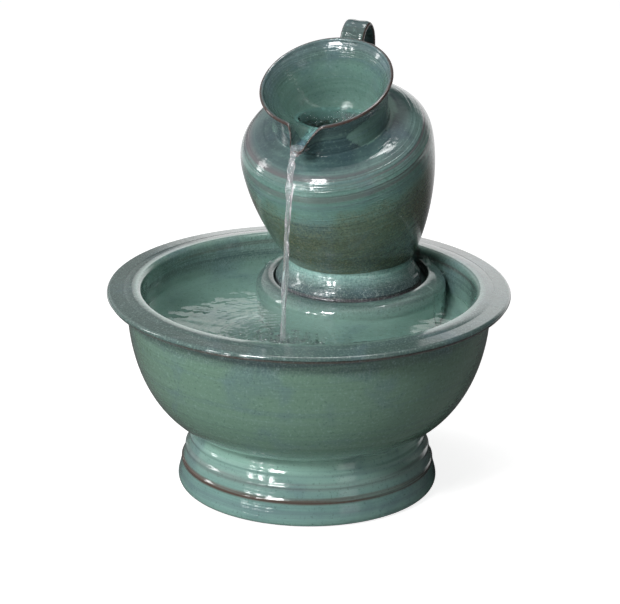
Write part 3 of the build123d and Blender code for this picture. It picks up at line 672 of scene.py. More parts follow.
BOWL_GLAZE = Glaze(
    name="glaze_bowl", axis=Axis.UPRIGHT, low=0.0, high=172.0,
    tones=((0.0, (0.30, 0.53, 0.46)), (0.10, (0.20, 0.36, 0.33)), (0.18, (0.24, 0.40, 0.36)),
           # The bright tone at 0.28, on the foot's top under the belly, is lighter pooled glaze, raised
           # further with painted light where the belly shades it.
           (0.28, (0.32, 0.55, 0.46)), (0.33, (0.16, 0.29, 0.23)), (0.40, (0.14, 0.26, 0.19)),
           (0.62, (0.16, 0.28, 0.21)), (0.85, (0.155, 0.27, 0.20)), (0.91, (0.14, 0.235, 0.19)),
           (0.955, (0.085, 0.14, 0.125)), (1.0, (0.11, 0.17, 0.155))),
    inner_tone=(0.22, 0.36, 0.31),
    bands=(Band(22.0, 3.6, 0.95, RUST), Band(33.0, 4.0, 0.45, PLUM), Band(10.0, 9.0, 0.45, SLATE),
           # The dark band at 157 is painted shade of the rim's overhanging lip: in the cove under it, and on
           # the wall and deck at that height.
           Band(42.0, 5.0, 0.5, SLATE), Band(157.0, 11.0, 0.75, (0.075, 0.115, 0.12)),
           Band(163.0, 3.0, 0.5, RUST)),
    specks=(Specks(138.0, 190.0, 0.35, light=(0.40, 0.56, 0.54), dark=(0.06, 0.11, 0.12)),),
    gloss=0.11, rings=330.0, relief=0.30, drift=7.0, streaks=0.22,
)


# ---------------------------------------------------------------- mesh making
def make_object(name: str, points: Sequence[Sequence[float]], faces: Sequence[Face],
                sharp_deg: float = 60.0) -> bpy.types.Object:
    """Makes a smooth mesh object from points in millimetres.

    Args:
        name: The object's name.
        points: Its corners.
        faces: Its faces, as corner numbers.
        sharp_deg: Edges turned by more than this stay sharp.

    Returns:
        The new object, at the origin.
    """
    mesh = bpy.data.meshes.new(name)
    mesh.from_pydata([tuple(point) for point in np.asarray(points, float) * MM], [], faces)
    return finish_mesh(bpy.data.objects.new(name, mesh), sharp_deg)


def finish_mesh(piece: bpy.types.Object, sharp_deg: float, outward: bool = True) -> bpy.types.Object:
    """Links a piece, merges its doubles, turns its faces outward and smooths it.

    Args:
        piece: The piece.
        sharp_deg: Edges turned by more than this stay sharp.
        outward: Whether its faces may need turning.

    Returns:
        The same piece.
    """
    if piece.name not in bpy.context.scene.collection.objects:
        bpy.context.scene.collection.objects.link(piece)
    work = bmesh.new()
    work.from_mesh(piece.data)
    bmesh.ops.remove_doubles(work, verts=work.verts, dist=1e-6)
    if outward:
        bmesh.ops.recalc_face_normals(work, faces=work.faces)
    work.to_mesh(piece.data)
    work.free()
    piece.data.shade_smooth()
    piece.data.set_sharp_from_angle(angle=math.radians(sharp_deg))
    return piece


def cad_copy(frame: dict, node: str, sharp_deg: float = 32.0) -> bpy.types.Object:
    """Makes a merged, smooth copy of a CAD node, to carry its finish.

    Args:
        node: The node's name.
        sharp_deg: Edges turned by more than this stay sharp.

    Returns:
        The copy.
    """
    piece = bpy.data.objects.new(f"{node}_dressed", frame["nodes"][node].data.copy())
    piece.data.materials.clear()
    return finish_mesh(piece, sharp_deg, outward=False)


def apply_modifiers(piece: bpy.types.Object) -> None:
    """Bakes a piece's modifiers into its mesh.

    Args:
        piece: The piece, whose modifiers go.
    """
    graph = bpy.context.evaluated_depsgraph_get()
    graph.update()
    result = bpy.data.meshes.new_from_object(piece.evaluated_get(graph))
    piece.modifiers.clear()
    piece.data = result


def cut_away(piece: bpy.types.Object, cutter: bpy.types.Object) -> None:
    """Subtracts a cutter from a piece and deletes it.

    Args:
        piece: What is cut.
        cutter: The form that goes.
    """
    cut = piece.modifiers.new("cut", "BOOLEAN")
    cut.operation = "DIFFERENCE"
    cut.object = cutter
    apply_modifiers(piece)
    bpy.data.objects.remove(cutter)


def mark(piece: bpy.types.Object, name: str, measure: Callable[[np.ndarray], np.ndarray]) -> None:
    """Stores a value from 0 to 1 at each corner of a piece.

    Args:
        piece: The piece to mark.
        name: The attribute's name: "edge" for bare edges, "inside" for inner walls.
        measure: Gives the value for an array of points in millimetres.
    """
    mesh = piece.data
    spots = np.empty(len(mesh.vertices) * 3)
    mesh.vertices.foreach_get("co", spots)
    values = np.clip(measure(spots.reshape(-1, 3) / MM), 0.0, 1.0)
    attribute = mesh.attributes.new(name, "FLOAT", "POINT")
    attribute.data.foreach_set("value", values.astype(np.float32))


def held(value: float) -> float:
    """Holds a value between 0 and 1."""
    return min(1.0, max(0.0, value))


def grid_faces(rows: int, columns: int, first: int = 0) -> list[Face]:
    """Faces between rings whose corners are numbered ring by ring.

    Args:
        rows: How many rings there are.
        columns: How many corners each ring has.
        first: The number of the first ring's first corner.

    Returns:
        The faces.
    """
    return [
        (low + k, low + (k + 1) % columns, low + columns + (k + 1) % columns, low + columns + k)
        for low in range(first, first + (rows - 1) * columns, columns) for k in range(columns)
    ]


def tube_faces(rows: int, columns: int) -> list[Face]:
    """Faces of a closed form made of rings.

    Args:
        rows: How many rings there are.
        columns: How many corners each ring has.

    Returns:
        The faces between the rings and one over each end.
    """
    last = (rows - 1) * columns
    return grid_faces(rows, columns) + [tuple(range(columns)), tuple(range(last, last + columns))]


def disc_faces(rows: int, columns: int) -> list[Face]:
    """Faces of a disc of rings round corner 0.

    Args:
        rows: How many rings there are.
        columns: How many corners each ring has.

    Returns:
        The faces.
    """
    return [(0, 1 + k, 1 + (k + 1) % columns) for k in range(columns)] + grid_faces(rows, columns, 1)


def prism(name: str, outline: Sequence[Pair], ends: Pair, along: int) -> bpy.types.Object:
    """Makes a straight form from its outline.

    Args:
        name: The object's name.
        outline: Its corners, once round.
        ends: Where it starts and ends.
        along: The number of the axis that it runs along.

    Returns:
        The new object.
    """
    points = np.concatenate([np.insert(np.array(outline), along, end, axis=1) for end in ends])
    return make_object(name, points, tube_faces(2, len(outline)))


def arc(centre: Pair, radii: Pair, start: float, end: float, count: int) -> list[Pair]:
    """Points of an ellipse's arc.

    Args:
        centre: Its centre.
        radii: Its radii along both axes.
        start: Its first angle, in degrees.
        end: Its last angle, in degrees.
        count: How many points it has.

    Returns:
        The points.
    """
    turns = [math.radians(angle) for angle in np.linspace(start, end, count)]
    return [(centre[0] + radii[0] * math.cos(turn), centre[1] + radii[1] * math.sin(turn)) for turn in turns]


def lean_axes(tilt_deg: float) -> tuple[np.ndarray, np.ndarray]:
    """Upward and backward directions of something that leans toward the front.

    Args:
        tilt_deg: How far it leans.

    Returns:
        Both directions.
    """
    lean = math.radians(tilt_deg)
    return np.array([0.0, -math.sin(lean), math.cos(lean)]), np.array([0.0, math.cos(lean), math.sin(lean)])


def unit_rows(rows: np.ndarray) -> np.ndarray:
    """Brings each row to length 1."""
    return rows / np.linalg.norm(rows, axis=1)[:, None]


def gone_lengths(path: np.ndarray) -> np.ndarray:
    """Length of a path up to each of its points."""
    return np.concatenate([[0.0], np.cumsum(np.linalg.norm(np.diff(path, axis=0), axis=1))])


def spline(points: Sequence[Sequence[float]], count: int) -> np.ndarray:
    """Natural cubic curve through points, sampled evenly by chord length.

    Args:
        points: Where the curve passes.
        count: How many samples to take.

    Returns:
        The samples.
    """
    knots = np.asarray(points, float)
    steps = np.linalg.norm(np.diff(knots, axis=0), axis=1)
    at = gone_lengths(knots)
    size = len(knots)
    matrix = np.eye(size)
    right = np.zeros_like(knots)
    for k in range(1, size - 1):
        before, after = steps[k - 1], steps[k]
        matrix[k, k - 1:k + 2] = before, 2 * (before + after), after
        right[k] = 6 * ((knots[k + 1] - knots[k]) / after - (knots[k] - knots[k - 1]) / before)
    bend = np.linalg.solve(matrix, right)
    where = np.linspace(0.0, at[-1], count)
    piece = np.clip(np.searchsorted(at, where, side="right") - 1, 0, size - 2)
    width = steps[piece][:, None]
    ahead = (at[piece + 1] - where)[:, None]
    gone = (where - at[piece])[:, None]
    first, second = bend[piece], bend[piece + 1]
    return (
        first * ahead**3 / (6 * width) + second * gone**3 / (6 * width)
        + (knots[piece] / width - first * width / 6) * ahead
        + (knots[piece + 1] / width - second * width / 6) * gone
    )


def swept_rows(start: np.ndarray, leave: np.ndarray, end: np.ndarray, arrive: np.ndarray,
               count: int) -> list[np.ndarray]:
    """Rings that pass smoothly from one ring to another.

    Args:
        start: The first ring.
        leave: How each of its points sets off.
        end: The last ring.
        arrive: How each of its points is reached.
        count: How many rings there are.

    Returns:
        The rings.
    """
    return [
        (2 * share**3 - 3 * share**2 + 1) * start + (share**3 - 2 * share**2 + share) * leave
        + (3 * share**2 - 2 * share**3) * end + (share**3 - share**2) * arrive
        for share in np.linspace(0.0, 1.0, count)
    ]


def turn_profile(name: str, profile: Sequence[Pair], count: int, centre: Point = (0.0, 0.0, 0.0),
                 tilt_deg: float = 0.0,
                 waver: Callable[[float, float], float] | None = None) -> bpy.types.Object:
    """Turns a profile whose ends lie on the axis into a closed form.

    Args:
        name: The object's name.
        profile: Radius and height of each corner, from one end to the other.
        count: How many segments it has.
        centre: Where the axis and height 0 lie.
        tilt_deg: How far the axis leans toward the front.
        waver: Gives what the radius gains at an angle and a height.

    Returns:
        The new object.
    """
    up, back = lean_axes(tilt_deg)
    points, faces, starts = [], [], []
    for radius, height in profile:
        starts.append(len(points))
        for angle in 2 * math.pi * np.arange(count if radius else 1) / count:
            out = radius + (waver(angle, height) if waver and radius else 0.0)
            away = out * (math.cos(angle) * SIDE + math.sin(angle) * back)
            points.append(np.array(centre) + away + height * up)
    for row in range(len(profile) - 1):
        low, high = starts[row:row + 2]
        for k in range(count):
            after = (k + 1) % count
            under = (low + k, low + after) if profile[row][0] else (low,)
            over = (high + after, high + k) if profile[row + 1][0] else (high,)
            faces.append(under + over)
    return make_object(name, points, faces, 50.0)


# ---------------------------------------------------------------- bowl
@dataclass(frozen=True)
class BowlShape:
    """Sizes of the footed bowl."""

    segments: int = 288
    underside: float = 51.1
    foot_hollow: Pair = (89.7, 84.9)
    foot_flare: float = 109.6
    foot_top: Pair = (94.5, 51.0)
    foot_bottom: float = 0.5
    foot_rings: tuple[float, ...] = (22.0, 33.0, 43.0)
    belly_flat: float = 80.0
    belly: Pair = (148.6, 155.7)
    belly_depth: float = 104.6
    wall: float = 12.0
    floor: float = 10.0
    rim: Pair = (163.7, 170.5)
    rim_drop: float = 3.9
    lip: float = 4.4
    crest: float = 4.0
    cove: float = 7.0
    arch: Pair = (13.0, 13.0)
    arch_reach: Pair = (60.0, 130.0)
    cord_hole: Pair = (36.0, 14.0)
    hole_reach: Pair = (40.0, 80.0)
    well_centre: Point = (1.5, 79.5, 157.5)
    well_radius: float = 80.0
    well_shoulder: float = 11.0
    deck_tilt: float = 3.5
    unevenness: float = 0.35
    pool_gap: float = 0.12
    pool_below_rim: float = 6.0
    near_profile: float = 1.6
    seat_radius: float = 66.0
    seat_level: float = 148.0
    bare_lip: float = 4.2
    bare_foot: float = 2.4
    bare_seat: float = 4.5
    inner_edge: float = 0.955

    def outside(self) -> list[Pair]:
        """Profile from the foot's underside up to the inner edge of the rim."""
        lip_top = self.rim[1] - self.rim_drop
        lip_round = self.lip / 2
        lip_under = lip_top - self.lip
        width = self.belly[0] - self.belly_flat
        start = math.degrees(math.asin(-math.sqrt(1 - ((self.foot_top[0] - self.belly_flat) / width) ** 2)))
        flare = ((9.0, self.foot_bottom), (5.6, 1.1), (3.4, 3.2), (2.5, 6.0), (2.75, 9.2), (3.7, 13.0),
                 (4.75, 17.0), (6.0, 21.5), (7.3, 26.0), (8.7, 31.0), (11.4, 38.0), (13.7, 46.0))
        foot = spline([(self.foot_flare - inset, height) for inset, height in flare] + [self.foot_top], 70)
        width_of_ring, height_of_ring = 1.3, 0.9
        ringed = [
            (radius + sum(height_of_ring * math.exp(-(((height - ring) / width_of_ring) ** 2))
                          for ring in self.foot_rings), height)
            for radius, height in foot
        ]
        belly = arc((self.belly_flat, self.belly[1]), (width, self.belly_depth), start, 0.0, 60)
        neck = (self.belly[0], lip_under - self.cove)
        cove = arc((self.belly[0] + self.cove, neck[1]), (self.cove, self.cove), 180.0, 90.0, 10)
        lip = arc((self.rim[0] - lip_round, lip_under + lip_round), (lip_round, lip_round), -90.0, 90.0, 15)
        return [(self.foot_hollow[0], self.foot_bottom)] + ringed + belly[1:] + [neck] + cove[1:] + lip

    def inside(self) -> list[Pair]:
        """Profile from the rim's inner edge down the wall to the middle of the floor."""
        radius = self.belly[0] - self.wall
        crest_radius = radius + self.crest
        crest = arc((crest_radius, self.rim[1] - self.crest), (self.crest, self.crest), 90.0, 180.0, 9)
        wall = arc((self.belly_flat, self.belly[1]),
                   (radius - self.belly_flat, self.belly_depth - self.floor), 0.0, -90.0, 50)
        floor = wall[-1][1]
        rim_top = spline([(self.rim[0] - self.lip / 2, self.rim[1] - self.rim_drop),
                          (self.rim[0] - 8.5, self.rim[1] - 1.9),
                          (crest_radius + 5.0, self.rim[1] - 0.25), crest[0]], 16)
        return [tuple(point) for point in rim_top[1:-1]] + crest + wall + [(40.0, floor), (0.0, floor)]

    def under(self) -> list[Pair]:
        """Profile of the hollow foot, from the middle of the underside out to the foot ring."""
        slant = (self.foot_hollow[0] - self.foot_hollow[1]) / 2 + 2.4
        return [(0.0, self.underside), (50.0, self.underside), (self.foot_hollow[1] - slant, self.underside),
                (self.foot_hollow[1], self.underside - slant)]

    def profile(self) -> list[Pair]:
        """The whole profile, from the middle of the underside round to the middle of the floor."""
        return self.under() + self.outside() + self.inside()


@dataclass(frozen=True)
class Bowl:
    """The bowl, its foot, and the pump well that carries the jug."""

    shape: BowlShape

    def _lathe(self) -> bpy.types.Object:
        """Turns the whole bowl and foot as one closed form with a slight thrown unevenness."""

        def waver(angle: float, height: float) -> float:
            """What the radius gains: nothing at the foot's edge."""
            spot = Vector((math.cos(angle) * 1.3, math.sin(angle) * 1.3, height * 0.012))
            return noise.noise(spot) * self.shape.unevenness * held((height - 4.0) / 12.0)

        return turn_profile("bowl_turned", self.shape.profile(), self.shape.segments, waver=waver)

    def _cutters(self) -> list[bpy.types.Object]:
        """Shapes of the cord's arch under the foot and of the cord's hole in the floor."""
        shape = self.shape
        half, below = shape.arch[0] / 2, -3.0
        outline = [(-half, below), (half, below)]
        outline += arc((0.0, shape.arch[1] - half), (half, half), 0.0, 180.0, 17)
        along, diameter = shape.cord_hole
        ring = arc((0.0, along), (diameter / 2, diameter / 2), 0.0, 345.0, 24)
        return [prism("arch_cutter", outline, shape.arch_reach, 1),
                prism("hole_cutter", ring, shape.hole_reach, 2)]

    def _crescents(self) -> bpy.types.Object:
        """Room of the pool on either side of the well, back to where its round wall meets the bowl's."""
        shape, gap = self.shape, self.shape.pool_gap
        lid, top, bottom = 190.0, 60.0, -130.0
        room = [(max(radius - gap, 0.0), height + gap) for radius, height in shape.inside()
                if height < shape.rim[1] - shape.pool_below_rim]
        space = turn_profile("pool_space", [(0.0, lid), (room[0][0], lid)] + room, shape.segments)
        flat, bend = shape.well_radius - shape.well_shoulder, shape.well_shoulder + gap
        edge = arc((flat, -shape.well_shoulder), (bend, bend), 90.0, 0.0, 14)
        island = [(0.0, top), (flat, top)] + edge + [(shape.well_radius + gap, bottom), (0.0, bottom)]
        cut_away(space, turn_profile("well_island", island, 192, shape.well_centre, shape.deck_tilt))
        return space

    def _well(self, frame: dict) -> bpy.types.Object:
        """Takes the well, its tilted deck and the pool's scooped ends from the CAD basin.


        Returns:
            A mesh of the basin's faces that aren't turned about the bowl's own axis.
        """
        shape, sharp = self.shape, 34.0
        piece = cad_copy(frame, "basin", sharp)
        piece.name = "pump_well"
        cut_away(piece, self._crescents())
        finish_mesh(piece, sharp, outward=False)
        profile = np.array(shape.profile())
        starts, runs = profile[:-1], np.diff(profile, axis=0)
        lengths = np.maximum((runs**2).sum(axis=1), 1e-9)
        floor_level = shape.belly[1] - shape.belly_depth + shape.floor

        def on_profile(spot: Vector) -> bool:
            """Tells whether a point lies close to the turned profile.

            Args:
                spot: The point, in metres.

            Returns:
                Whether it does.
            """
            here = np.array([math.hypot(spot.x, spot.y), spot.z]) / MM
            share = np.clip(((here - starts) * runs).sum(axis=1) / lengths, 0.0, 1.0)
            away = np.linalg.norm(starts + share[:, None] * runs - here, axis=1)
            return float(away.min()) < shape.near_profile

        def on_deck(middle: Vector) -> bool:
            """Whether a face lies on the well rather than on the turned wall and floor."""
            away = math.hypot(middle.x, middle.y - shape.well_centre[1] * MM)
            return away < shape.well_radius * MM and middle.z > (floor_level + 1.4) * MM

        work = bmesh.new()
        work.from_mesh(piece.data)
        near = {vertex.index: on_profile(vertex.co) for vertex in work.verts}
        doomed = []
        for face in work.faces:
            middle = face.calc_center_median()
            turned = all(near[vertex.index] for vertex in face.verts) and on_profile(middle)
            low = middle.z < (shape.foot_top[1] - 0.5) * MM
            floor = abs(middle.z - floor_level * MM) < 0.4 * MM
            if (low or floor or turned) and not on_deck(middle):
                doomed.append(face)
        bmesh.ops.delete(work, geom=doomed, context="FACES")
        loose = [vertex for vertex in work.verts if not vertex.link_faces]
        bmesh.ops.delete(work, geom=loose, context="VERTS")
        work.to_mesh(piece.data)
        work.free()
        return piece

    def _bare(self, spots: np.ndarray) -> np.ndarray:
        """Finds where the glaze runs thin: the rim's outer lip, the foot's edge and round the jug's seat.

        Args:
            spots: Points of the bowl.

        Returns:
            How bare each of them is.
        """
        shape = self.shape
        radius, height = np.hypot(spots[:, 0], spots[:, 1]), spots[:, 2]
        lip = 1.0 - np.hypot(radius - (shape.rim[0] - 1.0), height - (shape.rim[1] - 6.0)) / shape.bare_lip
        foot = (shape.bare_foot - height) / 1.6
        around = np.hypot(spots[:, 0], spots[:, 1] - JUG_SHAPE.foot_y)
        seat = (1.0 - np.abs(around - shape.seat_radius) / shape.bare_seat) * (height > shape.seat_level)
        return np.maximum(np.maximum(lip * 0.9, foot), seat * 0.85)

    def _within(self, spots: np.ndarray) -> np.ndarray:
        """Finds the pool's side, by how far out a point lies between the middle and the outer wall.

        Args:
            spots: Points of the bowl.

        Returns:
            1 on the pool's side and 0 outside.
        """
        shape = self.shape
        aside = np.maximum(np.hypot(spots[:, 0], spots[:, 1]) - shape.belly_flat, 0.0)
        outward = np.hypot(aside / (shape.belly[0] - shape.belly_flat),
                           (spots[:, 2] - shape.belly[1]) / shape.belly_depth)
        return np.clip((shape.inner_edge - outward) / 0.05, 0.0, 1.0)

    def build(self, frame: dict, glaze: bpy.types.Material) -> list[bpy.types.Object]:
        """Makes the bowl's pieces and puts them on the stand.

        Args:
            glaze: The bowl's finish.

        Returns:
            The pieces.
        """
        turned = self._lathe()
        for cutter in self._cutters():
            cut_away(turned, cutter)
        finish_mesh(turned, 50.0, outward=False)
        pieces = [turned, self._well(frame)]
        for piece in pieces:
            mark(piece, "edge", self._bare)
            mark(piece, "inside", self._within)
            piece.data.materials.append(glaze)
            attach(piece, "stand")
            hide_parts("basin")
        return pieces


# ---------------------------------------------------------------- jug
@dataclass(frozen=True)
class JugShape:
    """Sizes of the tilted jug, its foot, mouth and pulled pouring lip."""

    tilt: float = 22.0
    axis_point: Point = (0.0, 86.4, 188.5)
    outline: tuple[Pair, ...] = (
        (41.0, -37.0), (59.2, 0.0), (73.9, 44.5), (79.8, 86.0), (77.6, 104.0), (66.0, 116.0), (46.0, 120.5))
    wall: float = 6.0
    neck: Pair = (47.5, 119.8)
    neck_wall: float = 4.4
    mouth_centre: Point = (0.0, 28.7, 335.5)
    mouth_radius: float = 55.2
    mouth_tilt: float = 27.3
    lip_round: float = 1.8
    throat_radius: float = 30.0
    throat_centre: Point = (0.0, 46.0, 299.0)
    throat_depth: float = 27.0
    foot_y: float = 78.5
    foot_bottom: float = 150.0
    foot_side: tuple[Pair, ...] = (
        (61.6, 2.5), (61.3, 5.2), (60.0, 9.24), (57.6, 12.6), (55.0, 17.16), (53.9, 20.0), (53.7, 23.0),
        (54.4, 26.0))
    foot_hidden: float = 163.0
    floor_top: float = 162.0
    bare_from: float = 280.0
    bare_reach: float = 5.2
    dark_from: float = 3.0
    dark_fade: float = 16.0
    dark_inset: float = 4.5
    right_lip: tuple[Point, ...] = (
        (18.9, -17.4, 311.7), (16.0, -18.6, 309.8), (13.0, -19.5, 306.5), (10.0, -21.0, 302.5),
        (7.5, -24.0, 297.5), (5.5, -27.0, 293.2), (3.0, -28.2, 291.0), (0.0, -28.5, 290.4))
    left_lip: tuple[Point, ...] = (
        (-14.3, -18.7, 311.0), (-12.4, -19.0, 310.6), (-10.6, -19.8, 308.6), (-8.6, -21.4, 304.2),
        (-6.9, -24.2, 298.3), (-5.4, -27.0, 293.4), (-3.0, -28.2, 291.0), (0.0, -28.5, 290.4))


JUG_SHAPE = JugShape()


@dataclass(frozen=True)
class Jug:
    """The tilted jug: foot, body, neck, and flared mouth with its pulled lip."""

    shape: JugShape = JUG_SHAPE
    columns: int = 240
    unevenness: float = 0.3

    @property
    def angles(self) -> np.ndarray:
        """Angles round the axis, 0 at the front, in radians."""
        return np.linspace(-math.pi, math.pi, self.columns, endpoint=False)

    def _outward(self, back: np.ndarray) -> np.ndarray:
        """Directions away from an axis, once round, where one of them is backward."""
        return np.sin(self.angles)[:, None] * SIDE - np.cos(self.angles)[:, None] * back

    def _front(self, spread: float) -> np.ndarray:
        """How near the front each angle is: 1 at the front itself, and less over the given spread."""
        return np.exp(-((self.angles / spread) ** 2))[:, None]

    def _lip(self) -> np.ndarray:
        """The lip's top line, once round: the mouth's circle, pulled down at the front."""
        shape, samples = self.shape, 200
        outward = self._outward(lean_axes(shape.mouth_tilt)[1])
        line = np.array(shape.mouth_centre) + shape.mouth_radius * outward
        for pulled, sign in ((shape.right_lip, 1.0), (shape.left_lip, -1.0)):
            end = math.asin(abs(pulled[0][0]) / shape.mouth_radius)
            inside = np.where((self.angles * sign >= 0.0) & (self.angles * sign < end))[0]
            share = 1.0 - np.abs(self.angles[inside]) / end
            line[inside] = spline(pulled, samples)[np.round(share * (samples - 1)).astype(int)]
        return line

    def body_rows(self, inset: float, cut: float, rows: int) -> list[np.ndarray]:
        """Rings of the body from a level cut near its floor up to the neck.

        Args:
            inset: How far inside the outer surface they lie.
            cut: The height of the level cut.
            rows: How many rings there are.

        Returns:
            The rings, from the bottom up.
        """
        shape = self.shape
        curve = spline(shape.outline, 400)
        turn = unit_rows(np.gradient(curve, axis=0))
        curve = curve + inset * np.stack([-turn[:, 1], turn[:, 0]], axis=1)
        if inset:
            curve = curve[curve[:, 0] > shape.neck[0] - inset * 0.8]
        keep = curve[:, 0] >= shape.neck[0] - (shape.neck_wall if inset else 0.0)
        keep[: np.argmax(curve[:, 0])] = True
        curve = curve[keep]
        up, back = lean_axes(shape.tilt)
        rise = curve[:, 1] * up[2] + shape.axis_point[2]
        lengths = gone_lengths(curve)
        result = np.empty((rows, self.columns, 3))
        for k, angle in enumerate(self.angles):
            heights = rise - curve[:, 0] * math.cos(angle) * back[2]
            below = np.where(heights < cut)[0]
            first = 0.0
            if len(below):
                low = min(below[-1], len(heights) - 2)
                part = (cut - heights[low]) / max(heights[low + 1] - heights[low], 1e-9)
                first = lengths[low] + part * (lengths[low + 1] - lengths[low])
            at = first + (lengths[-1] - first) * np.linspace(0.0, 1.0, rows)
            radius, along = (np.interp(at, lengths, values)[:, None] for values in curve.T)
            outward = math.sin(angle) * SIDE - math.cos(angle) * back
            result[:, k] = shape.axis_point + along * up + radius * outward
        return list(result)

    def neck_rows(self, lip: np.ndarray, rows: int) -> list[np.ndarray]:
        """Rings of the neck, flaring to the lip and drawn out along the spout.

        Args:
            lip: The line that they end on.
            rows: How many rings there are.

        Returns:
            The rings, from the shoulder up.
        """
        radius, along = self.shape.neck
        axis, back = lean_axes(self.shape.tilt)
        outward, front = self._outward(back), self._front(0.30)
        base = np.array(self.shape.axis_point) + along * axis + radius * outward
        reach = np.linalg.norm(lip - base, axis=1)[:, None]
        leave = axis * (1.0 - 0.35 * front) + outward * (0.02 + 0.55 * front)
        arrive = axis * (0.72 - 1.15 * front) + outward * (0.62 + 0.35 * front)
        return swept_rows(base, leave * reach, lip, arrive * reach, rows)

    def _lip_frame(self) -> tuple[np.ndarray, np.ndarray, np.ndarray]:
        """The lip's line, the way in from each of its points, and the mouth's axis."""
        top = self._lip()
        up = lean_axes(self.shape.mouth_tilt)[0]
        inward = np.array(self.shape.mouth_centre) - top
        return top, unit_rows(inward - (inward @ up)[:, None] * up), up

    def inner_lip(self) -> np.ndarray:
        """The line where the lip meets the inner wall."""
        top, inward, up = self._lip_frame()
        return top + inward * 2 * self.shape.lip_round - up * self.shape.lip_round * 1.2

    def funnel_rows(self, outset: float, rows: int) -> list[np.ndarray]:
        """Rings of the mouth's inner wall, from its level throat up to the lip and out along the spout.

        Args:
            outset: How far outside the inner surface they lie.
            rows: How many rings there are.

        Returns:
            The rings, from the throat up.
        """
        shape = self.shape
        outward = self._outward(lean_axes(0.0)[1])
        base = np.array(shape.throat_centre) + (shape.throat_radius + outset) * outward
        end = self.inner_lip()
        axis = lean_axes(shape.tilt)[0]
        reach = np.linalg.norm(end - base, axis=1)[:, None]
        front = self._front(0.42)
        leave, arrive = (
            (axis * rise + outward * spread) * reach * (1.0 - front) + (end - base) * front
            for rise, spread in ((0.62, 0.62), (0.80, 0.72)))
        return swept_rows(base, leave, end, arrive, rows)

    def trough(self) -> np.ndarray:
        """Path of the water along the pulled lip, ending just over its tip."""
        tip = self._lip()[int(np.argmin(np.abs(self.angles)))]
        steps = ((10.5, 2.6), (5.0, 2.3), (0.4, 1.7), (-2.2, 0.5))
        return spline([tip + (0.0, behind, over) for behind, over in steps], 24)

    def _throat_rows(self) -> list[np.ndarray]:
        """Rings of the riser's pocket below the throat, down one side of its wall and up the other."""
        deep, wall = self.shape.throat_depth, self.shape.neck_wall
        steps = ((0.0, 0.35 * deep), (0.4, 0.7 * deep), (0.8, deep), (2.6, deep + 0.8), (wall - 0.2, deep),
                 (wall, 3.0))
        return [self.funnel_rows(outset, 2)[0] - (0.0, 0.0, down) for outset, down in steps]

    def _bare(self, top: np.ndarray) -> Callable[[np.ndarray], np.ndarray]:
        """Makes the measure of how brown the lip and the spout's edges are.

        Args:
            top: The lip's top line.

        Returns:
            The measure.
        """
        around = np.linspace(0.0, self.columns, self.columns * 4, endpoint=False)
        closed = np.vstack([top, top[:1]])
        numbers = np.arange(self.columns + 1)
        line = np.stack([np.interp(around, numbers, values) for values in closed.T], axis=1)

        def measure(spots: np.ndarray) -> np.ndarray:
            """Measures how near the line points are.

            Args:
                spots: Points of the jug.

            Returns:
                How bare each of them is.
            """
            nearest = np.full(len(spots), 1e9)
            high = spots[:, 2] > self.shape.bare_from
            for point in line:
                nearest[high] = np.minimum(nearest[high], np.linalg.norm(spots[high] - point, axis=1))
            return 1.10 - nearest / self.shape.bare_reach

        return measure

    def _within(self, spots: np.ndarray) -> np.ndarray:
        """Finds what lies deep inside the neck and body, by the distance to the mouth's plane and axis.

        Args:
            spots: Points of the jug.

        Returns:
            1 deep inside and 0 outside.
        """
        shape = self.shape
        up = lean_axes(shape.mouth_tilt)[0]
        offset = spots - np.array(shape.mouth_centre)
        depth = -(offset @ up)
        radius = np.linalg.norm(offset + depth[:, None] * up, axis=1)
        dark = np.clip((depth - shape.dark_from) / shape.dark_fade, 0.0, 1.0)
        return dark * (radius < shape.mouth_radius - shape.dark_inset)

    def _thrown(self, points: np.ndarray) -> np.ndarray:
        """Gives the wall a slight unevenness above its foot, out from a line up its middle.

        Args:
            points: The wall's corners.

        Returns:
            The moved corners.
        """
        moved = points.copy()
        for k, point in enumerate(points):
            middle = np.array([0.0, 60.0 - (point[2] - self.shape.axis_point[2]) * 0.4, point[2]])
            away = point - middle
            wave = noise.noise(Vector(point * 0.011)) * self.unevenness * held((point[2] - 165.0) / 20.0)
            moved[k] = point + away / max(np.linalg.norm(away), 1.0) * wave
        return moved

    def body(self) -> bpy.types.Object:
        """Makes the body, neck and lip as one closed wall."""
        shape = self.shape
        top, inward, up = self._lip_frame()
        width = shape.lip_round
        outer_end = top - up * width * 0.9
        rows = self.body_rows(0.0, shape.foot_hidden, 80)
        rows += self.neck_rows(outer_end, 34)[1:]
        for turn in np.radians(np.linspace(20.0, 160.0, 7)):
            rows.append(outer_end + inward * (1.0 - math.cos(turn)) * width + up * math.sin(turn) * width)
        rows += self.funnel_rows(0.0, 44)[::-1] + self._throat_rows()
        rows += self.body_rows(shape.wall, shape.floor_top, 40)[::-1]
        points = self._thrown(np.concatenate(rows))
        piece = make_object("jug_wall", points, tube_faces(len(rows), self.columns), 48.0)
        mark(piece, "edge", self._bare(top))
        mark(piece, "inside", self._within)
        return piece

    def foot(self) -> bpy.types.Object:
        """Turns the jug's moulded foot."""
        base, side = self.shape.foot_bottom, self.shape.foot_side
        bend, top = side[0][1], side[-1][1]
        profile = [(0.0, 6.0), (50.6, 6.0), (50.6, 0.6), (51.2, 0.0)]
        profile += arc((side[0][0] - bend, bend), (bend, bend), -90.0, 0.0, 8)
        profile += [tuple(point) for point in spline(side, 40)[1:]] + [(40.0, top), (0.0, top)]
        piece = turn_profile("jug_foot", profile, 192, (0.0, self.shape.foot_y, base))
        mark(piece, "edge", lambda spots: (base + 2.2 - spots[:, 2]) / 1.6)
        return piece

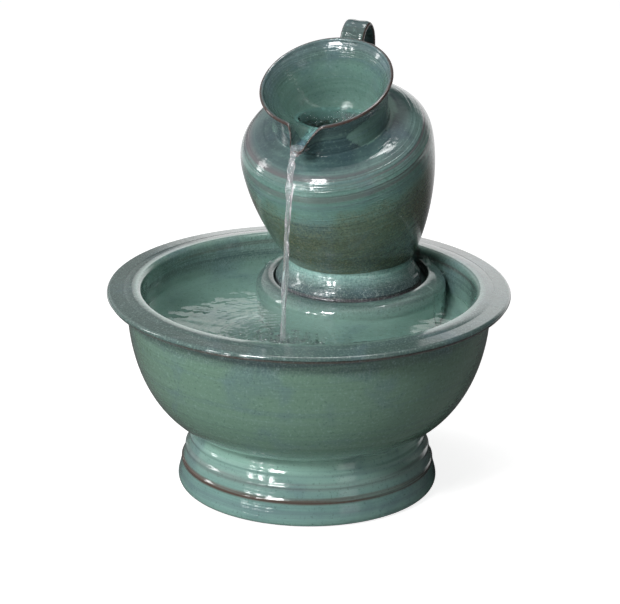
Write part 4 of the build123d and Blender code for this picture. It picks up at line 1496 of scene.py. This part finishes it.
    def build(self, effects: SurfaceEffects) -> list[bpy.types.Object]:
        """Makes the jug's pieces and puts them on its body.

        Args:
            effects: The shared node groups.

        Returns:
            The pieces.
        """
        wall, foot, strap = pieces = [self.body(), self.foot(), Handle().strap()]
        for piece, glaze in zip(pieces, (JUG_GLAZE, JUG_FOOT_GLAZE, HANDLE_GLAZE)):
            piece.data.materials.append(glaze.build(effects))
            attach(piece, "jug")
        for piece in (wall, foot):
            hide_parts("jug_body")
        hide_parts("jug_handle")
        return pieces


@dataclass(frozen=True)
class Handle:
    """Strap handle between the back of the mouth and the shoulder."""

    route: tuple[Pair, ...] = (
        (75.5, 349.0), (82.5, 365.0), (92.0, 369.8), (99.5, 363.0), (102.0, 345.0), (105.0, 312.0))
    width: float = 21.0
    thickness: float = 5.5
    groove_width: float = 4.5
    groove_depth: float = 0.7
    squareness: Pair = (0.55, 0.75)
    bare_edge: float = 2.6

    def _section(self) -> list[Pair]:
        """The strap's rounded section, with a shallow groove along its back."""
        section = []
        for angle in np.linspace(0.0, 2 * math.pi, 40, endpoint=False):
            cos, sin = math.cos(angle), math.sin(angle)
            across = math.copysign(abs(cos) ** self.squareness[0], cos) * self.width / 2
            deep = math.copysign(abs(sin) ** self.squareness[1], sin) * self.thickness / 2
            if deep > 0:
                deep -= self.groove_depth * math.exp(-((across / self.groove_width) ** 2))
            section.append((across, deep))
        return section

    def strap(self) -> bpy.types.Object:
        """Sweeps the section along the route."""
        path = spline(self.route, 60)
        way = unit_rows(np.gradient(path, axis=0))
        section = self._section()
        points = [(across, y - deep * rise, z + deep * run)
                  for (y, z), (run, rise) in zip(path, way) for across, deep in section]
        piece = make_object("handle_strap", points, tube_faces(len(path), len(section)), 55.0)
        mark(piece, "edge", lambda spots: (np.abs(spots[:, 0]) - self.width / 2 + self.bare_edge) / 2.4)
        return piece


# ---------------------------------------------------------------- water
def bubble_tree() -> bpy.types.NodeTree:
    """Geometry Nodes that scatter small bubbles over a patch, thickest where its attribute says."""
    graph, given, result = new_group("bubble_scatter", {
        "Geometry": ("Geometry", None), "Density": ("Float", 30000.0), "Smallest": ("Float", 0.0007),
        "Largest": ("Float", 0.0022), "Seed": ("Int", 4), "Material": ("Material", None),
    }, {"Geometry": "Geometry"}, "GeometryNodeTree")
    thick = graph.node("GeometryNodeInputNamedAttribute", data_type="FLOAT")
    thick.inputs["Name"].default_value = "thick"
    spread = graph.node("GeometryNodeDistributePointsOnFaces", distribute_method="RANDOM")
    graph.feed(spread.inputs["Mesh"], given["Geometry"])
    graph.feed(spread.inputs["Density"], graph.times(thick.outputs[0], given["Density"]))
    graph.feed(spread.inputs["Seed"], given["Seed"])
    ball = graph.node("GeometryNodeMeshIcoSphere")
    ball.inputs["Radius"].default_value = 1.0
    ball.inputs["Subdivisions"].default_value = 2
    size = graph.node("FunctionNodeRandomValue", data_type="FLOAT")
    for label, source in (("Min", "Smallest"), ("Max", "Largest"), ("Seed", "Seed")):
        target = next(socket for socket in size.inputs if socket.name == label and socket.enabled)
        graph.feed(target, given[source])
    put = graph.node("GeometryNodeInstanceOnPoints")
    graph.feed(put.inputs["Points"], spread.outputs["Points"])
    graph.feed(put.inputs["Instance"], ball.outputs[0])
    graph.feed(put.inputs["Scale"], next(socket for socket in size.outputs if socket.enabled))
    last = put
    for kind in ("GeometryNodeRealizeInstances", "GeometryNodeSetShadeSmooth", "GeometryNodeSetMaterial"):
        after = graph.node(kind)
        graph.feed(after.inputs[0], last.outputs[0])
        last = after
    graph.feed(last.inputs["Material"], given["Material"])
    graph.feed(result["Geometry"], last.outputs[0])
    return graph.tree


@dataclass(frozen=True)
class Ruffle:
    """One layer of a water surface's unevenness."""

    across: float
    along: float
    layer: float
    height: float

    def rise(self, x: float, y: float) -> float:
        """Height that it adds at a place."""
        return noise.noise(Vector((x * self.across, y * self.along, self.layer))) * self.height


@dataclass(frozen=True)
class Waters:
    """The pool, the jug's water, the falling stream and its bubbles."""

    bowl: BowlShape
    jug: Jug
    pool_level: float = 142.0
    jug_level: float = 301.0
    brim: tuple[Pair, ...] = ((-28.0, 292.4), (-10.0, 296.2), (4.0, 299.6))
    brim_end: float = 16.0
    landing: Pair = (3.0, -55.0)
    gravity: float = 9810.0
    ring_height: float = 1.1
    ring_fade: float = 26.0
    ring_pace: float = 0.95
    calm: float = 0.36
    wild: float = 0.9
    splash_shift: Pair = (15.0, 7.0)
    splash_turn: Pair = (0.906, 0.423)
    splash_reach: Pair = (42.0, 22.0)
    pool_chop: tuple[Ruffle, ...] = (Ruffle(0.055, 0.13, 0.3, 0.9), Ruffle(0.14, 0.30, 4.1, 0.40))
    splash: Ruffle = Ruffle(0.33, 0.40, 8.8, 2.6)
    jug_chop: tuple[Ruffle, ...] = (Ruffle(0.22, 0.22, 2.0, 1.5), Ruffle(0.5, 0.5, 6.0, 0.9))
    riser_y: float = 52.0
    swell_height: float = 1.6
    swell_reach: float = 17.0
    stream_half: float = 2.9
    stream_thick: float = 2.3
    trough_half: float = 5.5
    trough_thick: float = -0.9
    braid: Pair = (0.22, 0.12)
    bubble_reach: float = 17.0

    def _wave(self, x: float, y: float) -> float:
        """Finds the height of the pool's surface above its level.

        Args:
            x: The place from left to right.
            y: The place from front to back.

        Returns:
            Rings round the stream's landing, and chop that is rougher beside it.
        """
        across, along = x - self.landing[0], y - self.landing[1]
        away = math.hypot(across, along)
        rings = self.ring_height * math.exp(-away / self.ring_fade) * math.cos(away * self.ring_pace)
        across, along = across + self.splash_shift[0], along + self.splash_shift[1]
        cos, sin = self.splash_turn
        across, along = across * cos + along * sin, along * cos - across * sin
        near = math.exp(-((across / self.splash_reach[0]) ** 2) - (along / self.splash_reach[1]) ** 2)
        chop = sum(ruffle.rise(x, y) for ruffle in self.pool_chop) + self.splash.rise(x, y) * near
        return rings + chop * (self.calm + self.wild * near)

    def pool(self) -> bpy.types.Object:
        """Makes the pool: a rippled top on a body that reaches just into the bowl's wall."""
        shape, level, count, bite = self.bowl, self.pool_level, 300, 0.7
        floor = shape.belly_depth - shape.floor
        width = shape.belly[0] - shape.wall - shape.belly_flat
        drop = math.degrees(math.asin((shape.belly[1] - level) / floor))
        wall = arc((shape.belly_flat, shape.belly[1]), (width + bite, floor + bite), -drop, -90.0, 26)
        edge = wall[0][0]
        profile = [(edge * share, level) for share in np.linspace(0.0, 1.0, 92)][1:] + wall[1:]
        points = [(0.0, 0.0, level + self._wave(0.0, 0.0))]
        for radius, height in profile:
            for angle in 2 * math.pi * np.arange(count) / count:
                x, y = radius * math.cos(angle), radius * math.sin(angle)
                lift = self._wave(x, y) * min(1.0, (edge - radius) / 4.0 + 0.25) if height == level else 0.0
                points.append((x, y, height + lift))
        faces = disc_faces(len(profile), count) + [tuple(range(len(points) - count, len(points)))]
        return make_object("pool_water", points, faces, 180.0)

    def jug_fill(self) -> bpy.types.Object:
        """Makes the water inside the jug, its top just below the mouth's front edge."""
        jug, shape, bite = self.jug, self.jug.shape, 0.8
        inner = np.stack(jug.body_rows(shape.wall - bite, shape.floor_top - bite, 60))
        outer = np.stack(jug.funnel_rows(bite, 60))
        cover = float(inner[-1, :, 2].min()) - 1.0
        count, levels = jug.columns, 48
        walls = np.empty((levels, count, 3))
        for k in range(count):
            under, column = inner[:, k][inner[:, k, 2] < cover], outer[:, k]
            wet = (n for n in range(1, len(column)) if column[n, 2] >= self._brim(column[n, 1]))
            top = next(wet, len(column) - 1)
            path = np.vstack([under, column[: top + 1]])
            at = gone_lengths(path)
            where = np.linspace(0.0, at[-1], levels)
            walls[:, k] = np.stack([np.interp(where, at, values) for values in path.T], axis=1)
            walls[-1, k, 2] = min(walls[-1, k, 2], self._brim(walls[-1, k, 1]))
        edge = walls[-1]
        middle = edge.mean(axis=0)
        rows = list(walls)
        for share in np.linspace(1.0, 0.0, 44)[1:-1]:
            ring = middle + (edge - middle) * share
            free = min(1.0, (1.0 - share) * 6.0)
            ring[:, 2] = [self._brim(y) + self._boil(x, y) * free for x, y, _ in ring]
            rows.append(ring)
        rows.append([(middle[0], middle[1], self._brim(middle[1]) + self._boil(*middle[:2]))])
        last, tip = (len(rows) - 2) * count, (len(rows) - 1) * count
        faces = grid_faces(len(rows) - 1, count) + [tuple(range(count))]
        faces += [(last + k, last + (k + 1) % count, tip) for k in range(count)]
        return make_object("jug_water", np.concatenate(rows), faces, 180.0)

    def _brim(self, y: float) -> float:
        """Height of the jug's still surface, which falls away along the pulled lip."""
        places, heights = zip(*self.brim, (self.brim_end, self.jug_level))
        return float(np.interp(y, places, heights))

    def _boil(self, x: float, y: float) -> float:
        """Finds the height of the jug's water above its level, where the riser feeds it from below.

        Args:
            x: The place from left to right.
            y: The place from front to back.

        Returns:
            The height.
        """
        away = math.hypot(x, y - self.riser_y)
        swell = self.swell_height * math.exp(-((away / self.swell_reach) ** 2))
        swell += 0.7 * math.exp(-away / 30.0) * math.cos(away * 0.9)
        return swell + sum(ruffle.rise(x, y) for ruffle in self.jug_chop)

    def _fall(self, tip: np.ndarray, count: int) -> list[Point]:
        """Follows the water from the lip's tip down to the pool.

        Args:
            tip: Where it leaves the lip.
            count: How many steps it takes.

        Returns:
            The points after the tip.
        """
        seconds = math.sqrt(2 * (tip[2] - self.pool_level + 1.0) / self.gravity)
        return [
            (tip[0] + self.landing[0] * share, tip[1] + (self.landing[1] - tip[1]) * share,
             tip[2] - self.gravity * (seconds * share) ** 2 / 2)
            for share in np.linspace(0.0, 1.0, count)[1:]
        ]

    def stream(self) -> bpy.types.Object:
        """Makes the stream: along the pulled lip, over its tip and down to the pool."""
        trough = self.jug.trough()
        path = np.vstack([trough, self._fall(trough[-1], 90)])
        count, points, bed = 36, [], len(trough)
        for k, (spot, ahead) in enumerate(zip(path, unit_rows(np.gradient(path, axis=0)))):
            up = np.cross(SIDE, ahead)
            up /= np.linalg.norm(up)
            lying = held((bed - k) / bed + 0.1)
            free = 1.0 - lying
            fallen = max(0.0, (k - bed) / (len(path) - bed))
            half = self.stream_half + self.trough_half * lying**1.4 - 0.5 * fallen
            thick = self.stream_thick + self.trough_thick * lying - 0.3 * fallen
            twist = (0.9 * math.sin(k * 0.16) + k * 0.06) * free
            for turn in np.linspace(0.0, 2 * math.pi, count, endpoint=False):
                braid = self.braid[0] * math.cos(2 * turn + k * 0.31)
                braid += self.braid[1] * math.cos(3 * turn - k * 0.23)
                rough = 0.18 * noise.noise(Vector((math.cos(turn), math.sin(turn), k * 0.12)))
                swell = (1.0 + free * braid) * (1.0 + free * rough)
                across, deep = math.cos(turn) * half * swell, math.sin(turn) * thick * swell
                points.append(spot + SIDE * (across * math.cos(twist) - deep * math.sin(twist))
                              + up * (across * math.sin(twist) + deep * math.cos(twist)))
        return make_object("stream", points, tube_faces(len(path), count), 180.0)

    def bubbles(self, film: bpy.types.Material) -> bpy.types.Object:
        """Scatters bubbles round the place where the stream lands.

        Args:
            film: Their finish.

        Returns:
            The piece, dressed by its tree.
        """
        count, rings, step = 48, 16, 2.4
        points, thick = [(*self.landing, self.pool_level + 0.3)], [1.0]
        for radius in (step * row for row in range(1, rings + 1)):
            for angle in 2 * math.pi * np.arange(count) / count:
                x = self.landing[0] + radius * math.cos(angle) * 1.25
                y = self.landing[1] + radius * math.sin(angle)
                points.append((x, y, self.pool_level + self._wave(x, y) - 0.2))
                thick.append(math.exp(-((radius / self.bubble_reach) ** 2)))
        piece = make_object("bubbles", points, disc_faces(rings, count))
        attribute = piece.data.attributes.new("thick", "FLOAT", "POINT")
        attribute.data.foreach_set("value", thick)
        scatter = piece.modifiers.new("scatter", "NODES")
        scatter.node_group = bubble_tree()
        values = {"Density": 170000.0, "Smallest": 0.0005, "Largest": 0.0017, "Seed": 11, "Material": film}
        for item in scatter.node_group.interface.items_tree:
            if item.in_out == "INPUT" and item.name in values:
                scatter[item.identifier] = values[item.name]
        apply_modifiers(piece)
        return piece

    def build(self) -> list[bpy.types.Object]:
        """Makes the four waters and puts each on what holds it."""
        still = Water("water_still").build()
        deep = Water("water_deep", tint=(0.62, 0.74, 0.80)).build()
        moving = Water("water_moving", ripple=0.35, froth=0.12).build()
        pieces = [self.pool(), self.jug_fill(), self.stream(), self.bubbles(still)]
        pool, fill, stream, bubbles = pieces
        for piece, finish in ((pool, still), (fill, deep), (stream, moving)):
            piece.data.materials.append(finish)
        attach(pool, "stand")
        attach(fill, "jug")
        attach(stream, "jug")
        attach(bubbles, "stand")
        return pieces


# ---------------------------------------------------------------- studio
@dataclass(frozen=True)
class Studio:
    """Camera, lamps, floor and surroundings."""

    azimuth: float = 25.0
    elevation: float = 19.6
    distance: float = 2600.0
    target_right: float = 1.04
    target_height: float = 155.7
    lens: float = 184.37
    roll: float = 0.56
    floor_reach: float = 6.0
    floor_drop: float = 0.0002

    def camera(self) -> None:
        """Adds the camera."""
        turn, lift, lean = (math.radians(angle) for angle in (self.azimuth, self.elevation, self.roll))
        right = Vector((math.cos(turn), math.sin(turn), 0.0))
        ahead = Vector((-math.sin(turn), math.cos(turn), 0.0))
        target = right * self.target_right + Vector((0.0, 0.0, self.target_height))
        back = -ahead * math.cos(lift) + Vector((0.0, 0.0, math.sin(lift)))
        up = back.cross(right)
        side = right * math.cos(lean) + up * math.sin(lean)
        top = up * math.cos(lean) - right * math.sin(lean)
        data = bpy.data.cameras.new("camera")
        data.lens = self.lens
        data.sensor_width = 36.0
        data.clip_end = 50.0
        holder = bpy.data.objects.new("camera", data)
        turned = Matrix((side, top, back)).transposed().to_4x4()
        holder.matrix_world = Matrix.Translation((target + back * self.distance) * MM) @ turned
        bpy.context.scene.collection.objects.link(holder)
        bpy.context.scene.camera = holder

    def lamp(self, name: str, place: Point, aim_height: float, size: Pair, power: float) -> None:
        """Adds a rectangular area lamp that points at the part's middle.

        Args:
            name: Its name.
            place: Where it stands, in metres.
            aim_height: How high it points there, in metres.
            size: Its width and height, in metres.
            power: Its power, in watts.
        """
        data = bpy.data.lights.new(name, "AREA")
        data.shape = "RECTANGLE"
        data.size, data.size_y = size
        data.energy = power
        holder = bpy.data.objects.new(name, data)
        holder.location = place
        away = Vector(place) - Vector((0.0, 0.0, aim_height))
        holder.rotation_euler = away.to_track_quat("Z", "Y").to_euler()
        bpy.context.scene.collection.objects.link(holder)

    def _toward(self, graph: Graph, x: Socket, y: Socket, turn_deg: float) -> Socket:
        """Measures how far a place lies in one direction.

        Args:
            graph: The material's or world's graph.
            x: The place's X.
            y: The place's Y.
            turn_deg: The direction, from straight ahead in the view, clockwise from above.

        Returns:
            The distance's socket.
        """
        turn = math.radians(self.azimuth - turn_deg)
        return graph.minus(graph.times(y, math.cos(turn)), graph.times(x, math.sin(turn)))

    def floor(self) -> None:
        """Adds the pale floor."""
        mesh = bpy.data.meshes.new("studio_floor")
        corners = [(x * self.floor_reach, y * self.floor_reach, -self.floor_drop)
                   for x, y in ((-1, -1), (1, -1), (1, 1), (-1, 1))]
        mesh.from_pydata(corners, [], [(0, 1, 2, 3)])
        piece = bpy.data.objects.new("studio_floor", mesh)
        bpy.context.scene.collection.objects.link(piece)
        material, graph, shader = start_material("studio_white")
        shader.inputs["Roughness"].default_value = 0.9
        shader.inputs["Specular IOR Level"].default_value = 0.0
        rays = graph.node("ShaderNodeLightPath").outputs
        x, y, _ = graph.apart(graph.place())
        ahead = self._toward(graph, x, y, 0.0)
        far = graph.times(rays["Is Glossy Ray"], graph.span(ahead, 0.4, 1.2, 0.0, 0.9))
        seen = graph.larger(graph.times(rays["Is Camera Ray"], 0.86), far)
        colour = graph.mix(rays["Is Glossy Ray"], (0.55, 0.55, 0.55), (0.16, 0.16, 0.16))
        graph.feed(shader.inputs["Base Color"], colour)
        shader.inputs["Emission Color"].default_value = (1.0, 1.0, 1.0, 1.0)
        graph.feed(shader.inputs["Emission Strength"], seen)
        mesh.materials.append(material)

    def world(self) -> None:
        """Sets white surroundings, bright above and behind for reflections and dim elsewhere."""
        world = bpy.data.worlds.new("studio")
        world.use_nodes = True
        bpy.context.scene.world = world
        graph = Graph(world.node_tree)
        background = world.node_tree.nodes["Background"]
        rays = graph.node("ShaderNodeLightPath").outputs
        x, y, z = graph.apart(graph.node("ShaderNodeTexCoord").outputs["Generated"])
        ahead, aside = (self._toward(graph, x, y, turn) for turn in (0.0, 90.0))
        screen = graph.times(graph.span(ahead, 0.60, 0.88), graph.span(aside, -0.11, -0.04))
        screen = graph.times(screen, graph.span(z, 0.38, 0.52, 1.0, 0.0))
        behind = graph.span(screen, 0.0, 1.0, 0.06, 1.25, False)
        above = graph.span(z, 0.62, 0.92, 0.0, 0.55)
        left = graph.times(graph.span(x, -0.7, -0.3, 0.55, 0.0), graph.span(z, 0.10, 0.24, 0.2, 1.0))
        room = graph.larger(graph.larger(behind, above), left)
        direct = graph.larger(rays["Is Camera Ray"], rays["Is Transmission Ray"])
        glossy = graph.times(rays["Is Glossy Ray"], room)
        strength = graph.larger(graph.larger(direct, glossy), graph.times(room, 0.22))
        background.inputs["Color"].default_value = (1.0, 1.0, 1.0, 1.0)
        graph.feed(background.inputs["Strength"], strength)

    def build(self) -> None:
        """Adds everything round the part."""
        self.camera()
        self.floor()
        self.world()
        for column in (-1, 0, 1):
            for row in (-1, 0, 1):
                place = (-0.25 + 0.20 * column, -2.0, 1.62 + 0.22 * row)
                self.lamp(f"pane_{column + 1}_{row + 1}", place, 0.2, (0.15, 0.17), 3.6)
        doors = (((-0.92, -1.72, 0.62), 0.5), ((-0.62, -1.85, 0.60), 0.42), ((-0.30, -1.95, 0.66), 0.30))
        for place, height in doors:
            self.lamp(f"door_{height:.2f}", place, 0.25, (0.10, height), 3.9)
        for row in (0, 1, 2):
            self.lamp(f"side_pane_{row}", (-1.9, -0.5, 0.7 + 0.34 * row), 0.25, (0.22, 0.26), 1.7)
        self.lamp("right_fill", (1.7, -0.9, 0.45), 0.15, (0.6, 0.6), 0.8)
        for column in (0, 1, 2):
            self.lamp(f"top_pane_{column}", (-0.3 + 0.35 * column, 0.25, 2.1), 0.2, (0.24, 0.45), 3.0)
        bpy.context.scene.view_settings.view_transform = "Standard"


# ---------------------------------------------------------------- small parts
@dataclass(frozen=True)
class Dress:
    """Which finish the CAD's own shapes get, under a slot's name."""

    slot: str
    finish: Moulded
    nodes: tuple[str, ...]


DRESSES = (
    Dress("black_rubber", Moulded("rubber_black", (0.020, 0.020, 0.021), 0.62, 0.05, 0.3),
          ("foot_pads", "cord_stopper", "seat_ring", "inlet_gasket", "pump_seal", "cord_gland",
           "shaft_bushings")),
    Dress("clear_rubber", Moulded("rubber_pale", (0.50, 0.52, 0.50), 0.32, 0.03, 0.12), ("suction_cups",)),
    Dress("black_nylon", Moulded("nylon_black", (0.028, 0.028, 0.031), 0.42, 0.03, 0.25),
          ("inlet_fitting", "inlet_nut")),
    Dress("clear_tube", Moulded("vinyl_clear", (0.80, 0.83, 0.82), 0.14, 0.02, 0.06, transmission=0.75),
          ("riser_tube", "supply_tube")),
    Dress("pump_plastic", Moulded("plastic_pump", (0.026, 0.030, 0.034), 0.46, 0.08, 0.25),
          ("pump_housing", "pump_volute", "intake_cover")),
    Dress("grey_plastic", Moulded("plastic_grey", (0.21, 0.22, 0.23), 0.40, 0.03, 0.15),
          ("flow_slider", "impeller")),
    Dress("ceramic_shaft", Moulded("ceramic_white", (0.72, 0.72, 0.68), 0.22, 0.01, 0.06), ("rotor_shaft",)),
    Dress("ferrite", Moulded("ferrite_grey", (0.055, 0.055, 0.058), 0.58, 0.04, 0.2), ("rotor_magnet",)),
    Dress("sponge", Moulded("sponge_dark", (0.035, 0.035, 0.040), 0.92, 0.6, 0.5), ("intake_sponge",)),
)


def dress_nodes(frame: dict, effects: SurfaceEffects) -> list[bpy.types.Object]:
    """Gives every small part a smooth copy of its CAD shape with its own finish.

    Args:
        effects: The shared node groups.

    Returns:
        The copies.
    """
    riders = {node: body for body, nodes in frame["record"]["behaviour"]["bodies"].items() for node in nodes}
    pieces = []
    for dress in DRESSES:
        finish = dress.finish.build(effects)
        for node in dress.nodes:
            piece = cad_copy(frame, node)
            piece.data.materials.append(finish)
            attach(piece, riders[node])
            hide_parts(node)
            pieces.append(piece)
    return pieces


def main() -> None:
    """Builds every piece in order, logs their names and adds the studio."""
    logging.basicConfig(level=logging.INFO, format="%(name)s: %(message)s")
    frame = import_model()
    effects = SurfaceEffects()
    bowl, jug = BowlShape(), Jug()
    pieces = Bowl(bowl).build(frame, BOWL_GLAZE.build(effects)) + jug.build(effects)
    pieces += dress_nodes(frame, effects) + Waters(bowl, jug).build()
    for piece in pieces:
        LOG.info("made %s", piece.name)
    Studio().build()


if __name__ == "__main__":
    main()
